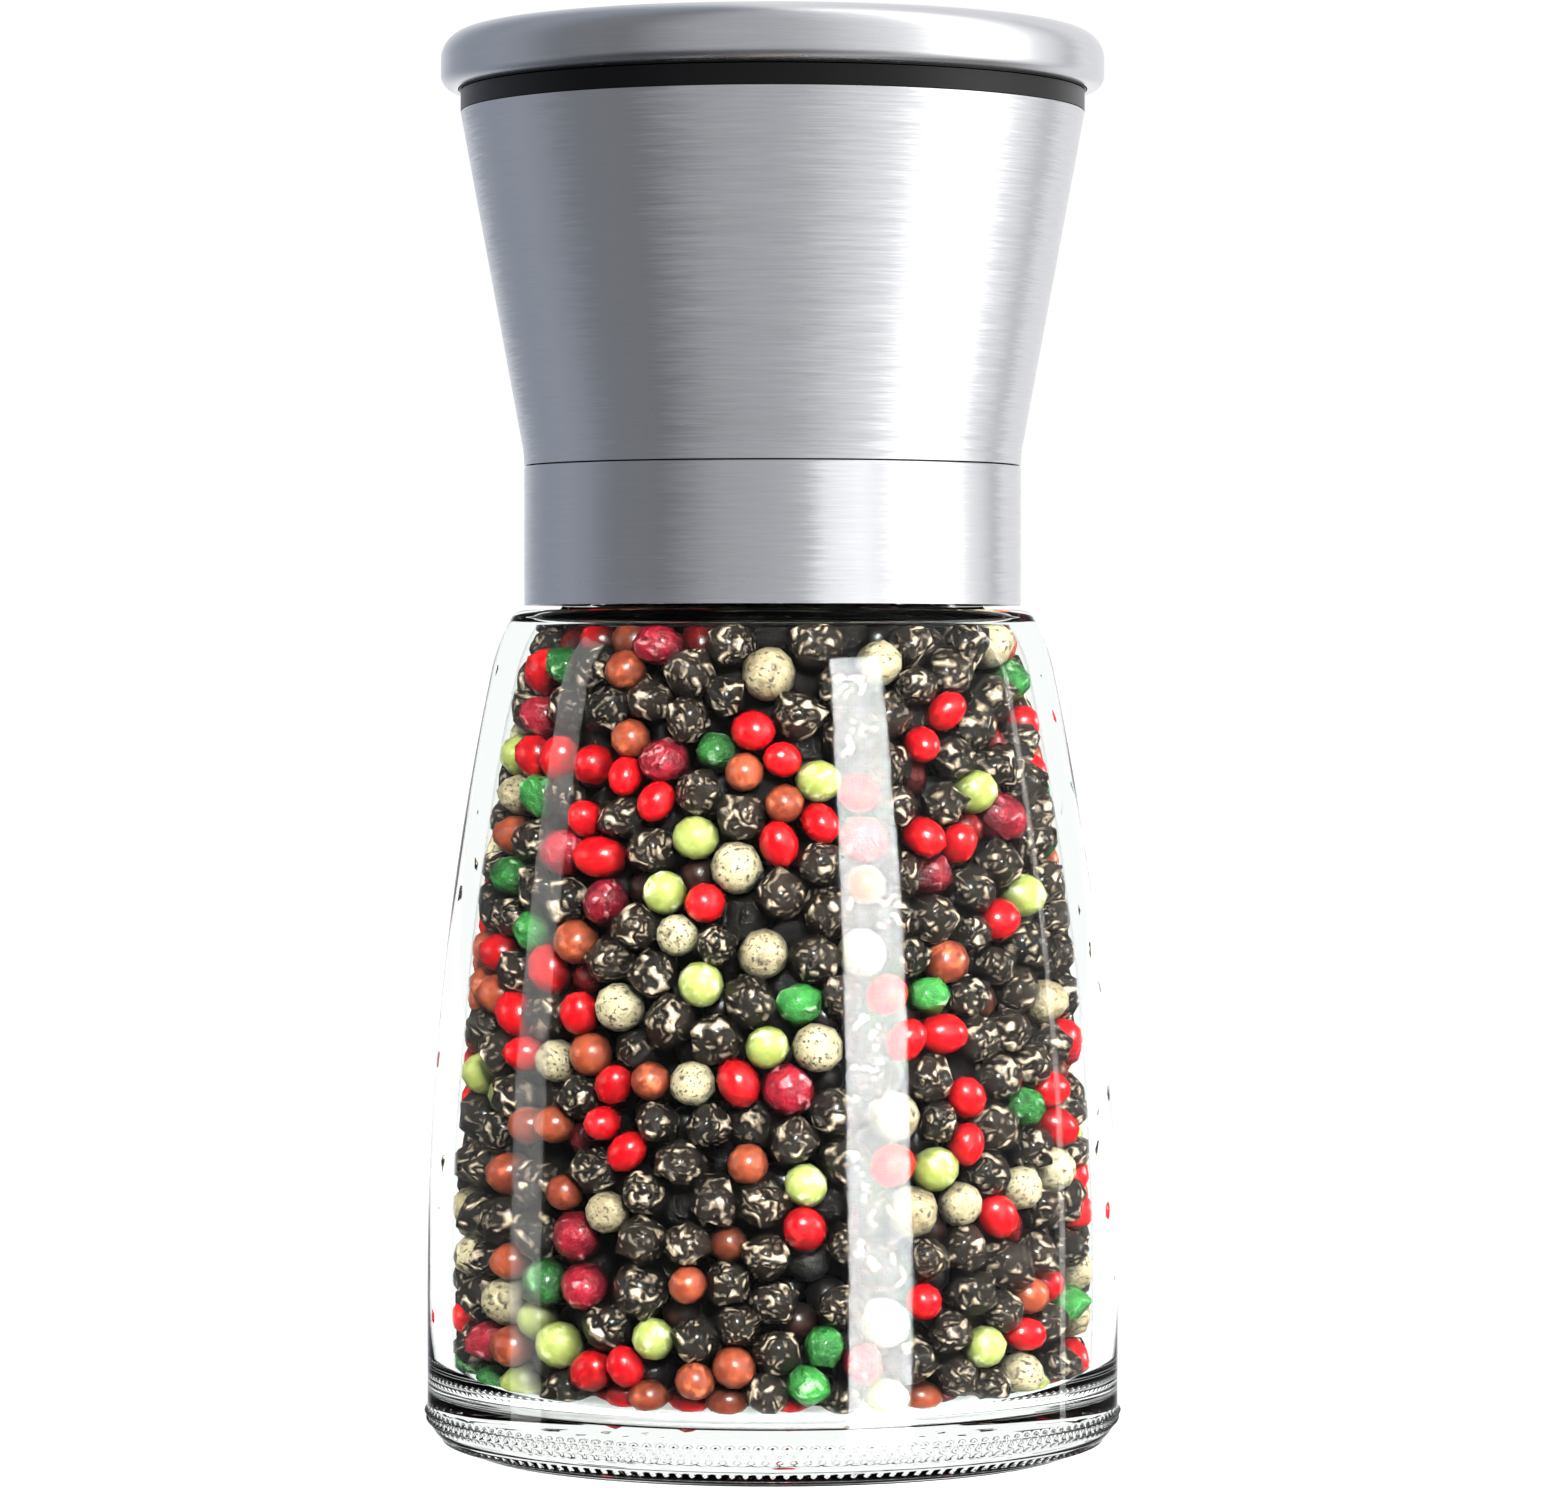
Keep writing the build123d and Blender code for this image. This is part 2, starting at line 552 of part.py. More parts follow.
def head_liner():
    """Black plastic body of the head: lip, funnel wall, burr holder and the skirt that snaps on."""
    hem = sleeve_bottom + SLEEVE_HEM
    bore_bottom = sleeve_top - MOUTH_DEPTH + LIP_HEIGHT

    def outside(level):
        return sleeve_outside(level) - STEEL - SLEEVE_FIT

    partition_top = holder_bottom + HOLDER_FLOOR + PARTITION_THICKNESS / 2
    partition_bottom = partition_top - PARTITION_THICKNESS
    shell = turned(
        (outside(hem) - LINER_WALL, skirt_bottom),
        (outside(hem), skirt_bottom),
        (outside(hem), hem),
        (outside(sleeve_top), sleeve_top),
        (SLEEVE_TOP_RADIUS, sleeve_top),
        (SLEEVE_TOP_RADIUS, lip_top),
        (MOUTH_RADIUS, lip_top),
        (MOUTH_RADIUS, bore_bottom),
        (outside(partition_top) - LINER_WALL, partition_top),
        (outside(hem) - LINER_WALL, hem),
    )
    reach = outside(partition_bottom) - LINER_WALL / 2
    partition = tube(holder_inside, reach, partition_bottom, partition_top)
    holder = tube(holder_inside, holder_outside, holder_bottom, burr_top)
    snap_level = burr_top - RETAINER_RIM[1] + RETAINER_GROOVE
    holder -= turned(
        (holder_outside - RETAINER_GROOVE, snap_level),
        (holder_outside + RETAINER_GROOVE, snap_level - 2 * RETAINER_GROOVE),
        (holder_outside + RETAINER_GROOVE, snap_level + 2 * RETAINER_GROOVE),
    )
    inlet = BURR_INLET_RADIUS + BURR_TOOTH_DEPTH
    seat = tube(inlet, holder_outside, holder_bottom, burr_bottom)
    skirt = tube(skirt_inside, skirt_inside + SKIRT_WALL, skirt_bottom, partition_top)
    snap = turned(
        (skirt_inside + SKIRT_WALL / 2, snap_top),
        (snap_inside, snap_top),
        (snap_inside, snap_top - SNAP_HEIGHT / 2),
        (skirt_inside, snap_top - SNAP_HEIGHT),
        (skirt_inside + SKIRT_WALL / 2, snap_top - SNAP_HEIGHT),
    )
    return shell + partition + holder + seat + skirt + snap


def glide_ring():
    """Slippery washer that the head turns on."""
    return tube(TURRET_RADIUS + SKIRT_CLEARANCE, skirt_inside + SKIRT_WALL, deck_top, glide_top)


def lid_shell():
    """Drawn steel cap with a rounded top edge and a rim rolled inwards."""
    cap = cylinder(LID_RADIUS, lid_bottom, lid_top)
    cap = fillet(cap.edges().group_by(Axis.Z)[-1], LID_TOP_ROUND)
    cap = fillet(cap.edges().group_by(Axis.Z)[0], LID_RIM_ROUND)
    room = cylinder(LID_RADIUS - LID_STEEL, lid_bottom + LID_STEEL, lid_top - LID_STEEL)
    room = fillet(room.edges().group_by(Axis.Z)[-1], LID_TOP_ROUND - LID_STEEL)
    room = fillet(room.edges().group_by(Axis.Z)[0], LID_RIM_ROUND - LID_STEEL)
    return cap - room - cylinder(
        LID_RIM_INSIDE, lid_bottom - OVERSHOOT, lid_bottom + LID_STEEL + OVERSHOOT
    )


def lid_plug():
    """Black board snapped into the cap, with the skirt that plugs the mouth and a groove for the seal."""
    board_bottom = lid_bottom + LID_STEEL
    board_top = board_bottom + PLUG_BOARD
    board = cylinder(LID_RADIUS - LID_STEEL - PLUG_FIT, board_bottom, board_top)
    board = fillet(board.edges().group_by(Axis.Z)[0], LID_RIM_ROUND - LID_STEEL)
    boss = cylinder(LID_RIM_INSIDE - PLUG_FIT, plug_bottom, board_bottom)
    upstand = tube(*PLUG_UPSTAND, board_top, lid_top - LID_STEEL)
    skirt_end = plug_bottom - PLUG_SKIRT_DEPTH
    skirt = tube(
        plug_skirt_outside - PLUG_SKIRT_WALL, plug_skirt_outside, skirt_end, plug_bottom
    )
    level = lip_top - SEAL_DROP
    groove = tube(
        seal_radius - SEAL_SECTION / 2,
        MOUTH_RADIUS + OVERSHOOT,
        level - SEAL_SECTION / 2,
        level + SEAL_SECTION / 2,
    )
    plug = board + boss + upstand + skirt - groove
    bevel = plug.edges().group_by(Axis.Z)[0].sort_by(SortBy.RADIUS)[-1]
    return chamfer(bevel, PLUG_SKIRT_WALL / 4)


def lid_seal():
    """Silicone ring in the skirt's groove."""
    level = lip_top - SEAL_DROP
    return Pos(0, 0, level) * Torus(seal_radius, SEAL_SECTION / 2)


PIECES = [
    glass_jar,
    peppercorns,
    neck_gasket,
    neck_collar,
    lower_ring,
    spindle,
    spindle_clip,
    burr_spring,
    spring_washer,
    burr_carrier,
    inner_burr,
    outer_burr,
    burr_retainer,
    adjuster_knob,
    knob_nut,
    head_sleeve,
    head_liner,
    glide_ring,
    lid_shell,
    lid_plug,
    lid_seal,
]

os.makedirs("parts", exist_ok=True)
for piece in PIECES:
    export_step(piece(), f"parts/{piece.__name__}.step")
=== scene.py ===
import json
import math

import bmesh
import bpy
import numpy as np
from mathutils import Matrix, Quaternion, Vector, kdtree, noise

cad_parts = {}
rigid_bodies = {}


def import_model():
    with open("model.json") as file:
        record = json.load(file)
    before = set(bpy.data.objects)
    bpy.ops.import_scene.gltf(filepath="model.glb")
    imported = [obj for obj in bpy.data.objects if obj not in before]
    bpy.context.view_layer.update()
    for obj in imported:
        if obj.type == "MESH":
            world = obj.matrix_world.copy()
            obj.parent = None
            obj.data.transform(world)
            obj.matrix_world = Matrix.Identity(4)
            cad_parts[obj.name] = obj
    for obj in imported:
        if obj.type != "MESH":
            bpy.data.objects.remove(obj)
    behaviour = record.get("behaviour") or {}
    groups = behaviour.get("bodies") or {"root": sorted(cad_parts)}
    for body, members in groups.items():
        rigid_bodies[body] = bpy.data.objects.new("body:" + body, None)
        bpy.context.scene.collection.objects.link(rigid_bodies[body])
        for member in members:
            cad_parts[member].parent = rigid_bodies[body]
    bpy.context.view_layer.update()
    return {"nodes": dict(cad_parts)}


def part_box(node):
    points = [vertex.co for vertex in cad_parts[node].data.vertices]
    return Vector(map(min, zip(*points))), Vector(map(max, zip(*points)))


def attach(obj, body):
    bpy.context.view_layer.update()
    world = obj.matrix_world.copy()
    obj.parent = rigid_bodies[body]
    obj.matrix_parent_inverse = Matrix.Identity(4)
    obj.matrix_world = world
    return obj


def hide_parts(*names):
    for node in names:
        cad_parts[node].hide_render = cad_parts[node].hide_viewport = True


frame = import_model()
nodes = frame["nodes"]


# ---------------------------------------------------------------------------
# Glass jar. Pressed clear soda-lime glass with a thick base: the side stands
# upright at the foot and leans in to a rounded shoulder, and the heel and the
# foot are stippled so that the hot jar doesn't check on the belt.

MM = 0.001
_, jar_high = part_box("glass_jar")
JAR_RADIUS = jar_high.x / MM
NECK_TOP = jar_high.z / MM
SHOULDER = 80.0
SHOULDER_RADIUS = 24.5
WAIST = (26.9, 74.0)
STRAIGHT_TOP = 15.0
WALL = 2.3
HEEL_ROUND = 3.5
FOOT_RADIUS = 29.5
FOOT_INSIDE = 26.3
FOOT_HEIGHT = 0.5
PUNT_RISE = 1.8
FLOOR = 5.1
FLOOR_ROUND = 4.0
NECK_RADIUS = 20.05
MOUTH_OF_JAR = 17.6
CROWN = 78.65
INNER_WAIST = (24.62, 73.7)
INNER_SHOULDER = (22.64, CROWN)
WEDGES = 16
JAR_STEPS = 640
STIPPLES = 160
STIPPLE_HEIGHT = 0.34
STIPPLE_ROWS = (0.95, 3.0, 3.8)
STIPPLE_REACH = 0.38
STIPPLE_FROM = FOOT_RADIUS - 0.3
HEEL_POINTS = 24
CORNER_POINTS = 8
OUTER_SIDE_POINTS = 16
INNER_SIDE_POINTS = 12
CORNER_SEGMENTS = 4
ROWS_OVER_HEEL = (4.2, 4.4, 4.6, 9.0)
THREADED_FROM = 1.4
NECK_ROWS = 22
NECK_ROW_STEP = 0.4
ON_SURFACE = 0.01
CLEAR_GREENISH = (0.975, 0.992, 0.982, 1)
SHADOW_TINT = (0.93, 0.95, 0.94, 1)
GLASS_IOR = 1.5
WEAK_BELOW = 0.35
WHOLE_ABOVE = 0.9
SHARE_TAKEN_OFF = 0.93
THREAD_PITCH = 4.0
THREAD_LOWEST = 82.8
THREAD_DEPTH = 1.2
THREAD_TURNS = 1.4
THREAD_ENTRY = math.radians(20.0)
THREAD_CREST = 0.5
THREAD_FOOT = 0.9
FADES_A_TURN = 12


def tangent_arc(start, heading, end, count):
    """Points after start, up to and including end, on the arc that leaves start along heading."""
    chord = (end[0] - start[0], end[1] - start[1])
    turn = math.atan2(chord[1], chord[0]) - heading
    length = math.hypot(*chord)
    points = []
    for n in range(1, count + 1):
        part = n / count
        reach = length * math.sin(turn * part) / math.sin(turn)
        angle = heading + turn * part
        points.append((start[0] + reach * math.cos(angle), start[1] + reach * math.sin(angle)))
    return points, heading + 2 * turn


def outline_mesh(points, rounds=()):
    """A wire outline in the XZ plane from (radius, height) points in mm, with some corners rounded."""
    bm = bmesh.new()
    verts = [bm.verts.new((x * MM, 0, z * MM)) for x, z in points]
    for first, second in zip(verts, verts[1:]):
        bm.edges.new((first, second))
    for (x, z), radius in rounds:
        corner = min(bm.verts, key=lambda v: (v.co - Vector((x * MM, 0, z * MM))).length)
        bmesh.ops.bevel(
            bm,
            geom=[corner],
            offset=radius * MM,
            offset_type="OFFSET",
            affect="VERTICES",
            segments=CORNER_SEGMENTS,
            profile=0.5,
            material=-1,
        )
    return bm


def turned(bm, steps):
    """Spins an outline round Z into a wedge, and the wedge into a closed surface facing outwards."""
    wedge = 2 * math.pi / WEDGES
    bmesh.ops.spin(
        bm,
        geom=bm.verts[:] + bm.edges[:],
        cent=(0, 0, 0),
        axis=(0, 0, 1),
        angle=wedge,
        steps=steps // WEDGES,
    )
    bmesh.ops.spin(
        bm,
        geom=bm.verts[:] + bm.edges[:] + bm.faces[:],
        cent=(0, 0, 0),
        axis=(0, 0, 1),
        angle=2 * math.pi - wedge,
        steps=WEDGES - 1,
        use_duplicate=True,
    )
    bmesh.ops.remove_doubles(bm, verts=bm.verts[:], dist=1e-6)
    bmesh.ops.recalc_face_normals(bm, faces=bm.faces[:])


def piece(name, bm, body, stands_for, material, crease=None):
    """Makes the finished mesh an object that rides on a CAD body and stands for its CAD nodes."""
    for face in bm.faces:
        face.smooth = True
    mesh = bpy.data.meshes.new(name)
    bm.to_mesh(mesh)
    bm.free()
    if crease:
        mesh.set_sharp_from_angle(angle=math.radians(crease))
    mesh.materials.append(material)
    made = bpy.data.objects.new(name, mesh)
    bpy.context.scene.collection.objects.link(made)
    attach(made, body)
    if stands_for:
        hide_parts(*stands_for)
    return made


def new_material(name):
    """A new node material, with its tree and its Principled BSDF."""
    material = bpy.data.materials.new(name)
    material.use_nodes = True
    return material, material.node_tree, material.node_tree.nodes["Principled BSDF"]


def add(tree, kind, label="", values=None, **settings):
    """A node with a label, its settings and, by socket, its input values."""
    node = tree.nodes.new(kind)
    node.label = label
    for key, value in settings.items():
        setattr(node, key, value)
    for socket, value in (values or {}).items():
        node.inputs[socket].default_value = value
    return node


def side_points(bottom, waist, top, count):
    """The leaning side and the shoulder's rounding, one smooth curve from bottom to top."""
    lean, heading = tangent_arc(bottom, math.pi / 2, waist, count)
    rounding, _ = tangent_arc(waist, heading, top, count // 2)
    return lean + rounding


def jar_outline():
    """Half the jar's section as (radius, height) points: foot, side and neck, then down inside."""
    heel = [
        (
            FOOT_RADIUS + HEEL_ROUND * math.sin(math.pi / 2 * n / HEEL_POINTS),
            FOOT_HEIGHT + HEEL_ROUND * (1 - math.cos(math.pi / 2 * n / HEEL_POINTS)),
        )
        for n in range(HEEL_POINTS + 1)
    ]
    inside_radius = JAR_RADIUS - WALL
    corner_middle = (inside_radius - FLOOR_ROUND, FLOOR + FLOOR_ROUND)
    corner = [
        (
            corner_middle[0] + FLOOR_ROUND * math.cos(math.pi / 2 * n / CORNER_POINTS),
            corner_middle[1] - FLOOR_ROUND * math.sin(math.pi / 2 * n / CORNER_POINTS),
        )
        for n in range(CORNER_POINTS + 1)
    ]
    shoulder = (SHOULDER_RADIUS, SHOULDER)
    outer_side = side_points((JAR_RADIUS, STRAIGHT_TOP), WAIST, shoulder, OUTER_SIDE_POINTS)
    inner_start = (inside_radius, STRAIGHT_TOP)
    inner_side = side_points(inner_start, INNER_WAIST, INNER_SHOULDER, INNER_SIDE_POINTS)
    neck_rows = [
        (NECK_RADIUS, SHOULDER + THREADED_FROM + NECK_ROW_STEP * n) for n in range(NECK_ROWS)
    ]
    return (
        [(0, PUNT_RISE), (FOOT_INSIDE - PUNT_RISE, PUNT_RISE), (FOOT_INSIDE, 0)]
        + [(FOOT_RADIUS - FOOT_HEIGHT, 0)]
        + heel
        + [(JAR_RADIUS, z) for z in (*ROWS_OVER_HEEL, STRAIGHT_TOP)]
        + outer_side
        + [(NECK_RADIUS, SHOULDER)]
        + neck_rows
        + [(NECK_RADIUS, NECK_TOP), (MOUTH_OF_JAR, NECK_TOP), (MOUTH_OF_JAR, CROWN)]
        + inner_side[::-1]
        + [inner_start]
        + corner
        + [(0, FLOOR)]
    )


def thread_height(angle, level):
    """How far the screw ridge stands out of the neck at an angle and a level, in millimetres."""
    turn = ((angle - THREAD_ENTRY) / (2 * math.pi)) % 1.0
    height = 0.0
    for lap in (0, 1):
        if turn + lap > THREAD_TURNS:
            continue
        run_in = FADES_A_TURN * (turn + lap)
        run_out = FADES_A_TURN * (THREAD_TURNS - turn - lap)
        away = abs(level - THREAD_LOWEST - THREAD_PITCH * (turn + lap))
        slope = (THREAD_FOOT - away) / (THREAD_FOOT - THREAD_CREST)
        height = max(height, THREAD_DEPTH * min(1.0, run_in, run_out) * min(1.0, max(0.0, slope)))
    return height


def glass_material():
    """Clear glass with faint mould ripple: a weak mirror image, but whole where it mirrors totally."""
    material, tree, shader = new_material("pressed_clear_glass")
    link = tree.links.new
    shader.inputs["Base Color"].default_value = CLEAR_GREENISH
    shader.inputs["Transmission Weight"].default_value = 1.0
    shader.inputs["IOR"].default_value = GLASS_IOR
    shader.inputs["Roughness"].default_value = 0.0
    place = add(tree, "ShaderNodeTexCoord")
    ripple = add(tree, "ShaderNodeTexNoise", "mould ripple", {"Scale": 55.0, "Detail": 1.0})
    bump = add(tree, "ShaderNodeBump", values={"Strength": 0.08, "Distance": 0.001})
    link(place.outputs["Object"], ripple.inputs["Vector"])
    link(ripple.outputs["Fac"], bump.inputs["Height"])
    link(bump.outputs["Normal"], shader.inputs["Normal"])
    bend = add(
        tree, "ShaderNodeBsdfRefraction", "bends light without a mirror image",
        {"Color": CLEAR_GREENISH, "Roughness": 0.0, "IOR": GLASS_IOR},
    )
    link(bump.outputs["Normal"], bend.inputs["Normal"])
    mirror = add(tree, "ShaderNodeFresnel", "mirror share", {"IOR": GLASS_IOR})
    weak = add(
        tree, "ShaderNodeMapRange", "weak unless total",
        {"From Min": WEAK_BELOW, "From Max": WHOLE_ABOVE, "To Min": SHARE_TAKEN_OFF, "To Max": 0.0},
        interpolation_type="SMOOTHSTEP",
    )
    link(mirror.outputs["Fac"], weak.inputs["Value"])
    softened = add(tree, "ShaderNodeMixShader", "weak mirror image")
    link(weak.outputs["Result"], softened.inputs["Fac"])
    link(shader.outputs["BSDF"], softened.inputs[1])
    link(bend.outputs["BSDF"], softened.inputs[2])
    path = add(tree, "ShaderNodeLightPath")
    clear = add(tree, "ShaderNodeBsdfTransparent", values={"Color": SHADOW_TINT})
    mix = add(tree, "ShaderNodeMixShader", "glass that lets lamps through")
    link(path.outputs["Is Shadow Ray"], mix.inputs["Fac"])
    link(softened.outputs["Shader"], mix.inputs[1])
    link(clear.outputs["BSDF"], mix.inputs[2])
    link(mix.outputs["Shader"], tree.nodes["Material Output"].inputs["Surface"])
    return material


jar_mesh = outline_mesh(
    jar_outline(),
    rounds=[
        ((SHOULDER_RADIUS, SHOULDER), 0.7),
        ((NECK_RADIUS, SHOULDER), 0.6),
        ((NECK_RADIUS, NECK_TOP), 0.6),
        ((MOUTH_OF_JAR, NECK_TOP), 0.6),
        ((MOUTH_OF_JAR, CROWN), 0.6),
        (INNER_SHOULDER, 0.8),
        ((FOOT_INSIDE, 0), 0.4),
        ((FOOT_RADIUS - FOOT_HEIGHT, 0), 0.3),
        ((FOOT_INSIDE - PUNT_RISE, PUNT_RISE), 0.8),
    ],
)
turned(jar_mesh, JAR_STEPS)
for vert in jar_mesh.verts:
    radius = math.hypot(vert.co.x, vert.co.y) / MM
    level = vert.co.z / MM
    if radius < MOUTH_OF_JAR:
        continue
    angle = math.atan2(vert.co.y, vert.co.x)
    grow = 0.0
    if abs(radius - NECK_RADIUS) < ON_SURFACE:
        grow = thread_height(angle, level)
    if radius > STIPPLE_FROM and level < STIPPLE_ROWS[-1] + STIPPLE_REACH:
        row = min(STIPPLE_ROWS, key=lambda z: abs(z - level))
        across = max(0.0, 1 - abs(level - row) / STIPPLE_REACH)
        stagger = math.pi * STIPPLE_ROWS.index(row)
        grow = STIPPLE_HEIGHT * across * max(0.0, math.cos(STIPPLES * angle + stagger))
    if grow:
        vert.co.x *= 1 + grow / radius
        vert.co.y *= 1 + grow / radius
jar = piece("jar_glass", jar_mesh, "jar", ["glass_jar"], glass_material(), crease=50)


# ---------------------------------------------------------------------------
# Peppercorns. About three thousand whole dried berries poured into the jar
# and shaken down: black ones with wrinkled skins, smooth red and brown ones,
# pale green, freeze-dried green and cream ones. They touch the glass all round.

PACKING = 0.615
FILL_TOP = 80.3
LIT_DEPTH = 0.7
DARK_DEPTH = 3.5
RELAX_ROUNDS = 150
SETTLED_GAP = 0.985
OUTER_LAYERS = 4.2
FAR_OUTSIDE = 6
CLEAR_OF_GLASS = 2
LARGEST_BERRY = 2.5
NEIGHBOUR_SPARE = 0.5
NEIGHBOURS_EVERY = 6
NEAR_GLASS = 2.4
FLOOR_LAYER = 3
STEP_OUTWARD = 0.03
PUSHES_A_ROUND = 3
PUSH_SHARE = 0.7
BROAD_DENTS = 1.5
BROAD_SHARE = 0.7
FINE_DENTS = 3.3
KINDS = {
    # kind: share, smallest and largest radius in mm, stretch along its own axes, wrinkle
    "black": (0.46, 1.95, 2.45, (1.03, 0.98, 0.98), 0.30),
    "red": (0.18, 1.75, 2.20, (1.18, 0.95, 0.92), 0.03),
    "crimson": (0.05, 2.00, 2.50, (1.10, 1.00, 0.92), 0.14),
    "brown": (0.14, 1.70, 2.05, (1.05, 1.00, 1.00), 0.03),
    "pale_green": (0.06, 1.95, 2.20, (1.06, 1.00, 0.98), 0.03),
    "dark_green": (0.05, 1.90, 2.25, (1.08, 0.98, 0.88), 0.26),
    "cream": (0.06, 1.95, 2.45, (1.02, 1.00, 0.98), 0.08),
}
random = np.random.default_rng(20)


def cavity_wall():
    """The jar's inner outline as (radius, height) points from the floor's middle to the neck."""
    inner = jar_outline()
    start = max(n for n, p in enumerate(inner) if p == (MOUTH_OF_JAR, NECK_TOP))
    return np.array(inner[start:][::-1])


def push_off_wall(places, sizes, wall):
    """Moves berries back inside the glass and under the fill's top, and gives each one's depth."""
    reach = np.hypot(places[:, 0], places[:, 1])
    spot = np.stack([reach, places[:, 2]], 1)
    start, end = wall[:-1], wall[1:]
    along = end - start
    length = (along**2).sum(1)
    share = ((spot[:, None] - start) * along).sum(2) / length
    nearest = start + np.clip(share, 0, 1)[..., None] * along
    gap = spot[:, None] - nearest
    distance = np.sqrt((gap**2).sum(2))
    pick = distance.argmin(1)
    rows = np.arange(len(spot))
    inward = np.stack([-along[pick, 1], along[pick, 0]], 1) / np.sqrt(length[pick])[:, None]
    depth = (gap[rows, pick] * inward).sum(1)
    short = np.maximum(0, sizes - depth)
    short[distance[rows, pick] > sizes + FAR_OUTSIDE] = 0
    spot += inward * short[:, None]
    spot[:, 1] = np.minimum(spot[:, 1], FILL_TOP - sizes)
    scale = np.maximum(spot[:, 0], 0) / np.maximum(reach, 1e-6)
    places[:, 0] *= scale
    places[:, 1] *= scale
    places[:, 2] = spot[:, 1]
    return depth


def poured_berries():
    """Shakes the berries down until they hardly overlap: their places, sizes and kinds."""
    wall = cavity_wall()
    ring_area = math.pi * (wall[:-1, 0] ** 2 + wall[1:, 0] ** 2) / 2
    below_top = wall[1:, 1] < FILL_TOP
    volume = (ring_area * np.diff(wall[:, 1]) * below_top).sum()
    volume += math.pi * MOUTH_OF_JAR**2 * (FILL_TOP - CROWN)
    names = list(KINDS)
    shares = np.array([KINDS[k][0] for k in names])
    middle = np.array([(KINDS[k][1] + KINDS[k][2]) / 2 for k in names])
    mean_volume = (shares * 4 / 3 * math.pi * middle**3).sum() / shares.sum()
    count = int(PACKING * volume / mean_volume)
    kinds = random.choice(len(names), count, p=shares / shares.sum())
    low = np.array([KINDS[k][1] for k in names])[kinds]
    high = np.array([KINDS[k][2] for k in names])[kinds]
    sizes = random.uniform(low, high)
    places = []
    while len(places) < count:
        x, y = random.uniform(-JAR_RADIUS, JAR_RADIUS, 2)
        z = random.uniform(FLOOR, FILL_TOP)
        if math.hypot(x, y) < np.interp(z, wall[:, 1], wall[:, 0]) - CLEAR_OF_GLASS:
            places.append((x, y, z))
    places = np.array(places)
    for step in range(RELAX_ROUNDS):
        if step % NEIGHBOURS_EVERY == 0:
            tree = kdtree.KDTree(count)
            for n, place in enumerate(places):
                tree.insert(place, n)
            tree.balance()
            pairs = []
            for n, place in enumerate(places):
                reach = sizes[n] + LARGEST_BERRY + NEIGHBOUR_SPARE
                for _, other, _ in tree.find_range(place, reach):
                    if other > n:
                        pairs.append((n, other))
            first, second = np.array(pairs).T
        depth = push_off_wall(places, sizes, wall)
        near = (depth < NEAR_GLASS * sizes) & (places[:, 2] > FLOOR + FLOOR_LAYER)
        off_axis = np.hypot(places[:, 0], places[:, 1])[:, None]
        places[near, :2] += STEP_OUTWARD * (places[:, :2] / np.maximum(off_axis, 1e-6))[near]
        for _ in range(PUSHES_A_ROUND):
            apart = places[second] - places[first]
            distance = np.sqrt((apart**2).sum(1)) + 1e-9
            overlap = np.maximum(0, SETTLED_GAP * (sizes[first] + sizes[second]) - distance)
            push = apart * (0.5 * overlap / distance)[:, None]
            moved = np.zeros_like(places)
            np.add.at(moved, first, -push)
            np.add.at(moved, second, push)
            places += PUSH_SHARE * moved
    depth = push_off_wall(places, sizes, wall)
    return places, sizes, [names[k] for k in kinds], depth


def many_balls(count, subdivisions):
    """One ball, doubled until there are count of them in one mesh, one block of vertices each."""
    bm = bmesh.new()
    bmesh.ops.create_icosphere(bm, subdivisions=subdivisions, radius=1.0)
    corners, sides, faces = len(bm.verts), len(bm.edges), len(bm.faces)
    made = 1
    while made < count:
        more = min(made, count - made)
        block = bm.verts[: more * corners] + bm.edges[: more * sides] + bm.faces[: more * faces]
        bmesh.ops.duplicate(bm, geom=block)
        made += more
    return bm, corners


def berry_mesh(chosen, places, sizes, stretch, wrinkle, subdivisions):
    """Berries of one kind in one mesh, each with its own tone, skin coordinates and light by depth."""
    bm, corners = many_balls(len(chosen), subdivisions)
    tone = bm.verts.layers.float.new("tone")
    light = bm.verts.layers.float.new("light")
    skin = bm.verts.layers.float_vector.new("skin")
    wall = cavity_wall()
    bm.verts.ensure_lookup_table()
    for index, n in enumerate(chosen):
        turn = Quaternion(random.normal(size=4)).normalized()
        own = Vector(random.uniform(-50, 50, 3))
        own_tone = random.uniform()
        squeeze = Vector(stretch) * random.uniform(0.96, 1.03)
        centre = Vector(places[n])
        for vert in bm.verts[index * corners : (index + 1) * corners]:
            way = vert.co.normalized()
            dent = noise.noise(way * BROAD_DENTS + own) * BROAD_SHARE
            dent += noise.noise(way * FINE_DENTS + own)
            spot = centre + turn @ (way * squeeze) * (sizes[n] * (1.0 + wrinkle * dent))
            # The light attribute is painted shade: the skin darkens the deeper it lies from the glass,
            # the floor and the top of the fill.
            side = np.interp(spot.z, wall[:, 1], wall[:, 0]) - math.hypot(spot.x, spot.y)
            deep = min(side, spot.z - FLOOR, FILL_TOP + 1.0 - spot.z)
            share = min(1.0, max(0.0, (DARK_DEPTH - deep) / (DARK_DEPTH - LIT_DEPTH)))
            vert[tone] = own_tone
            vert[light] = share * share
            vert[skin] = way + own
            vert.co = spot * MM
    return bm


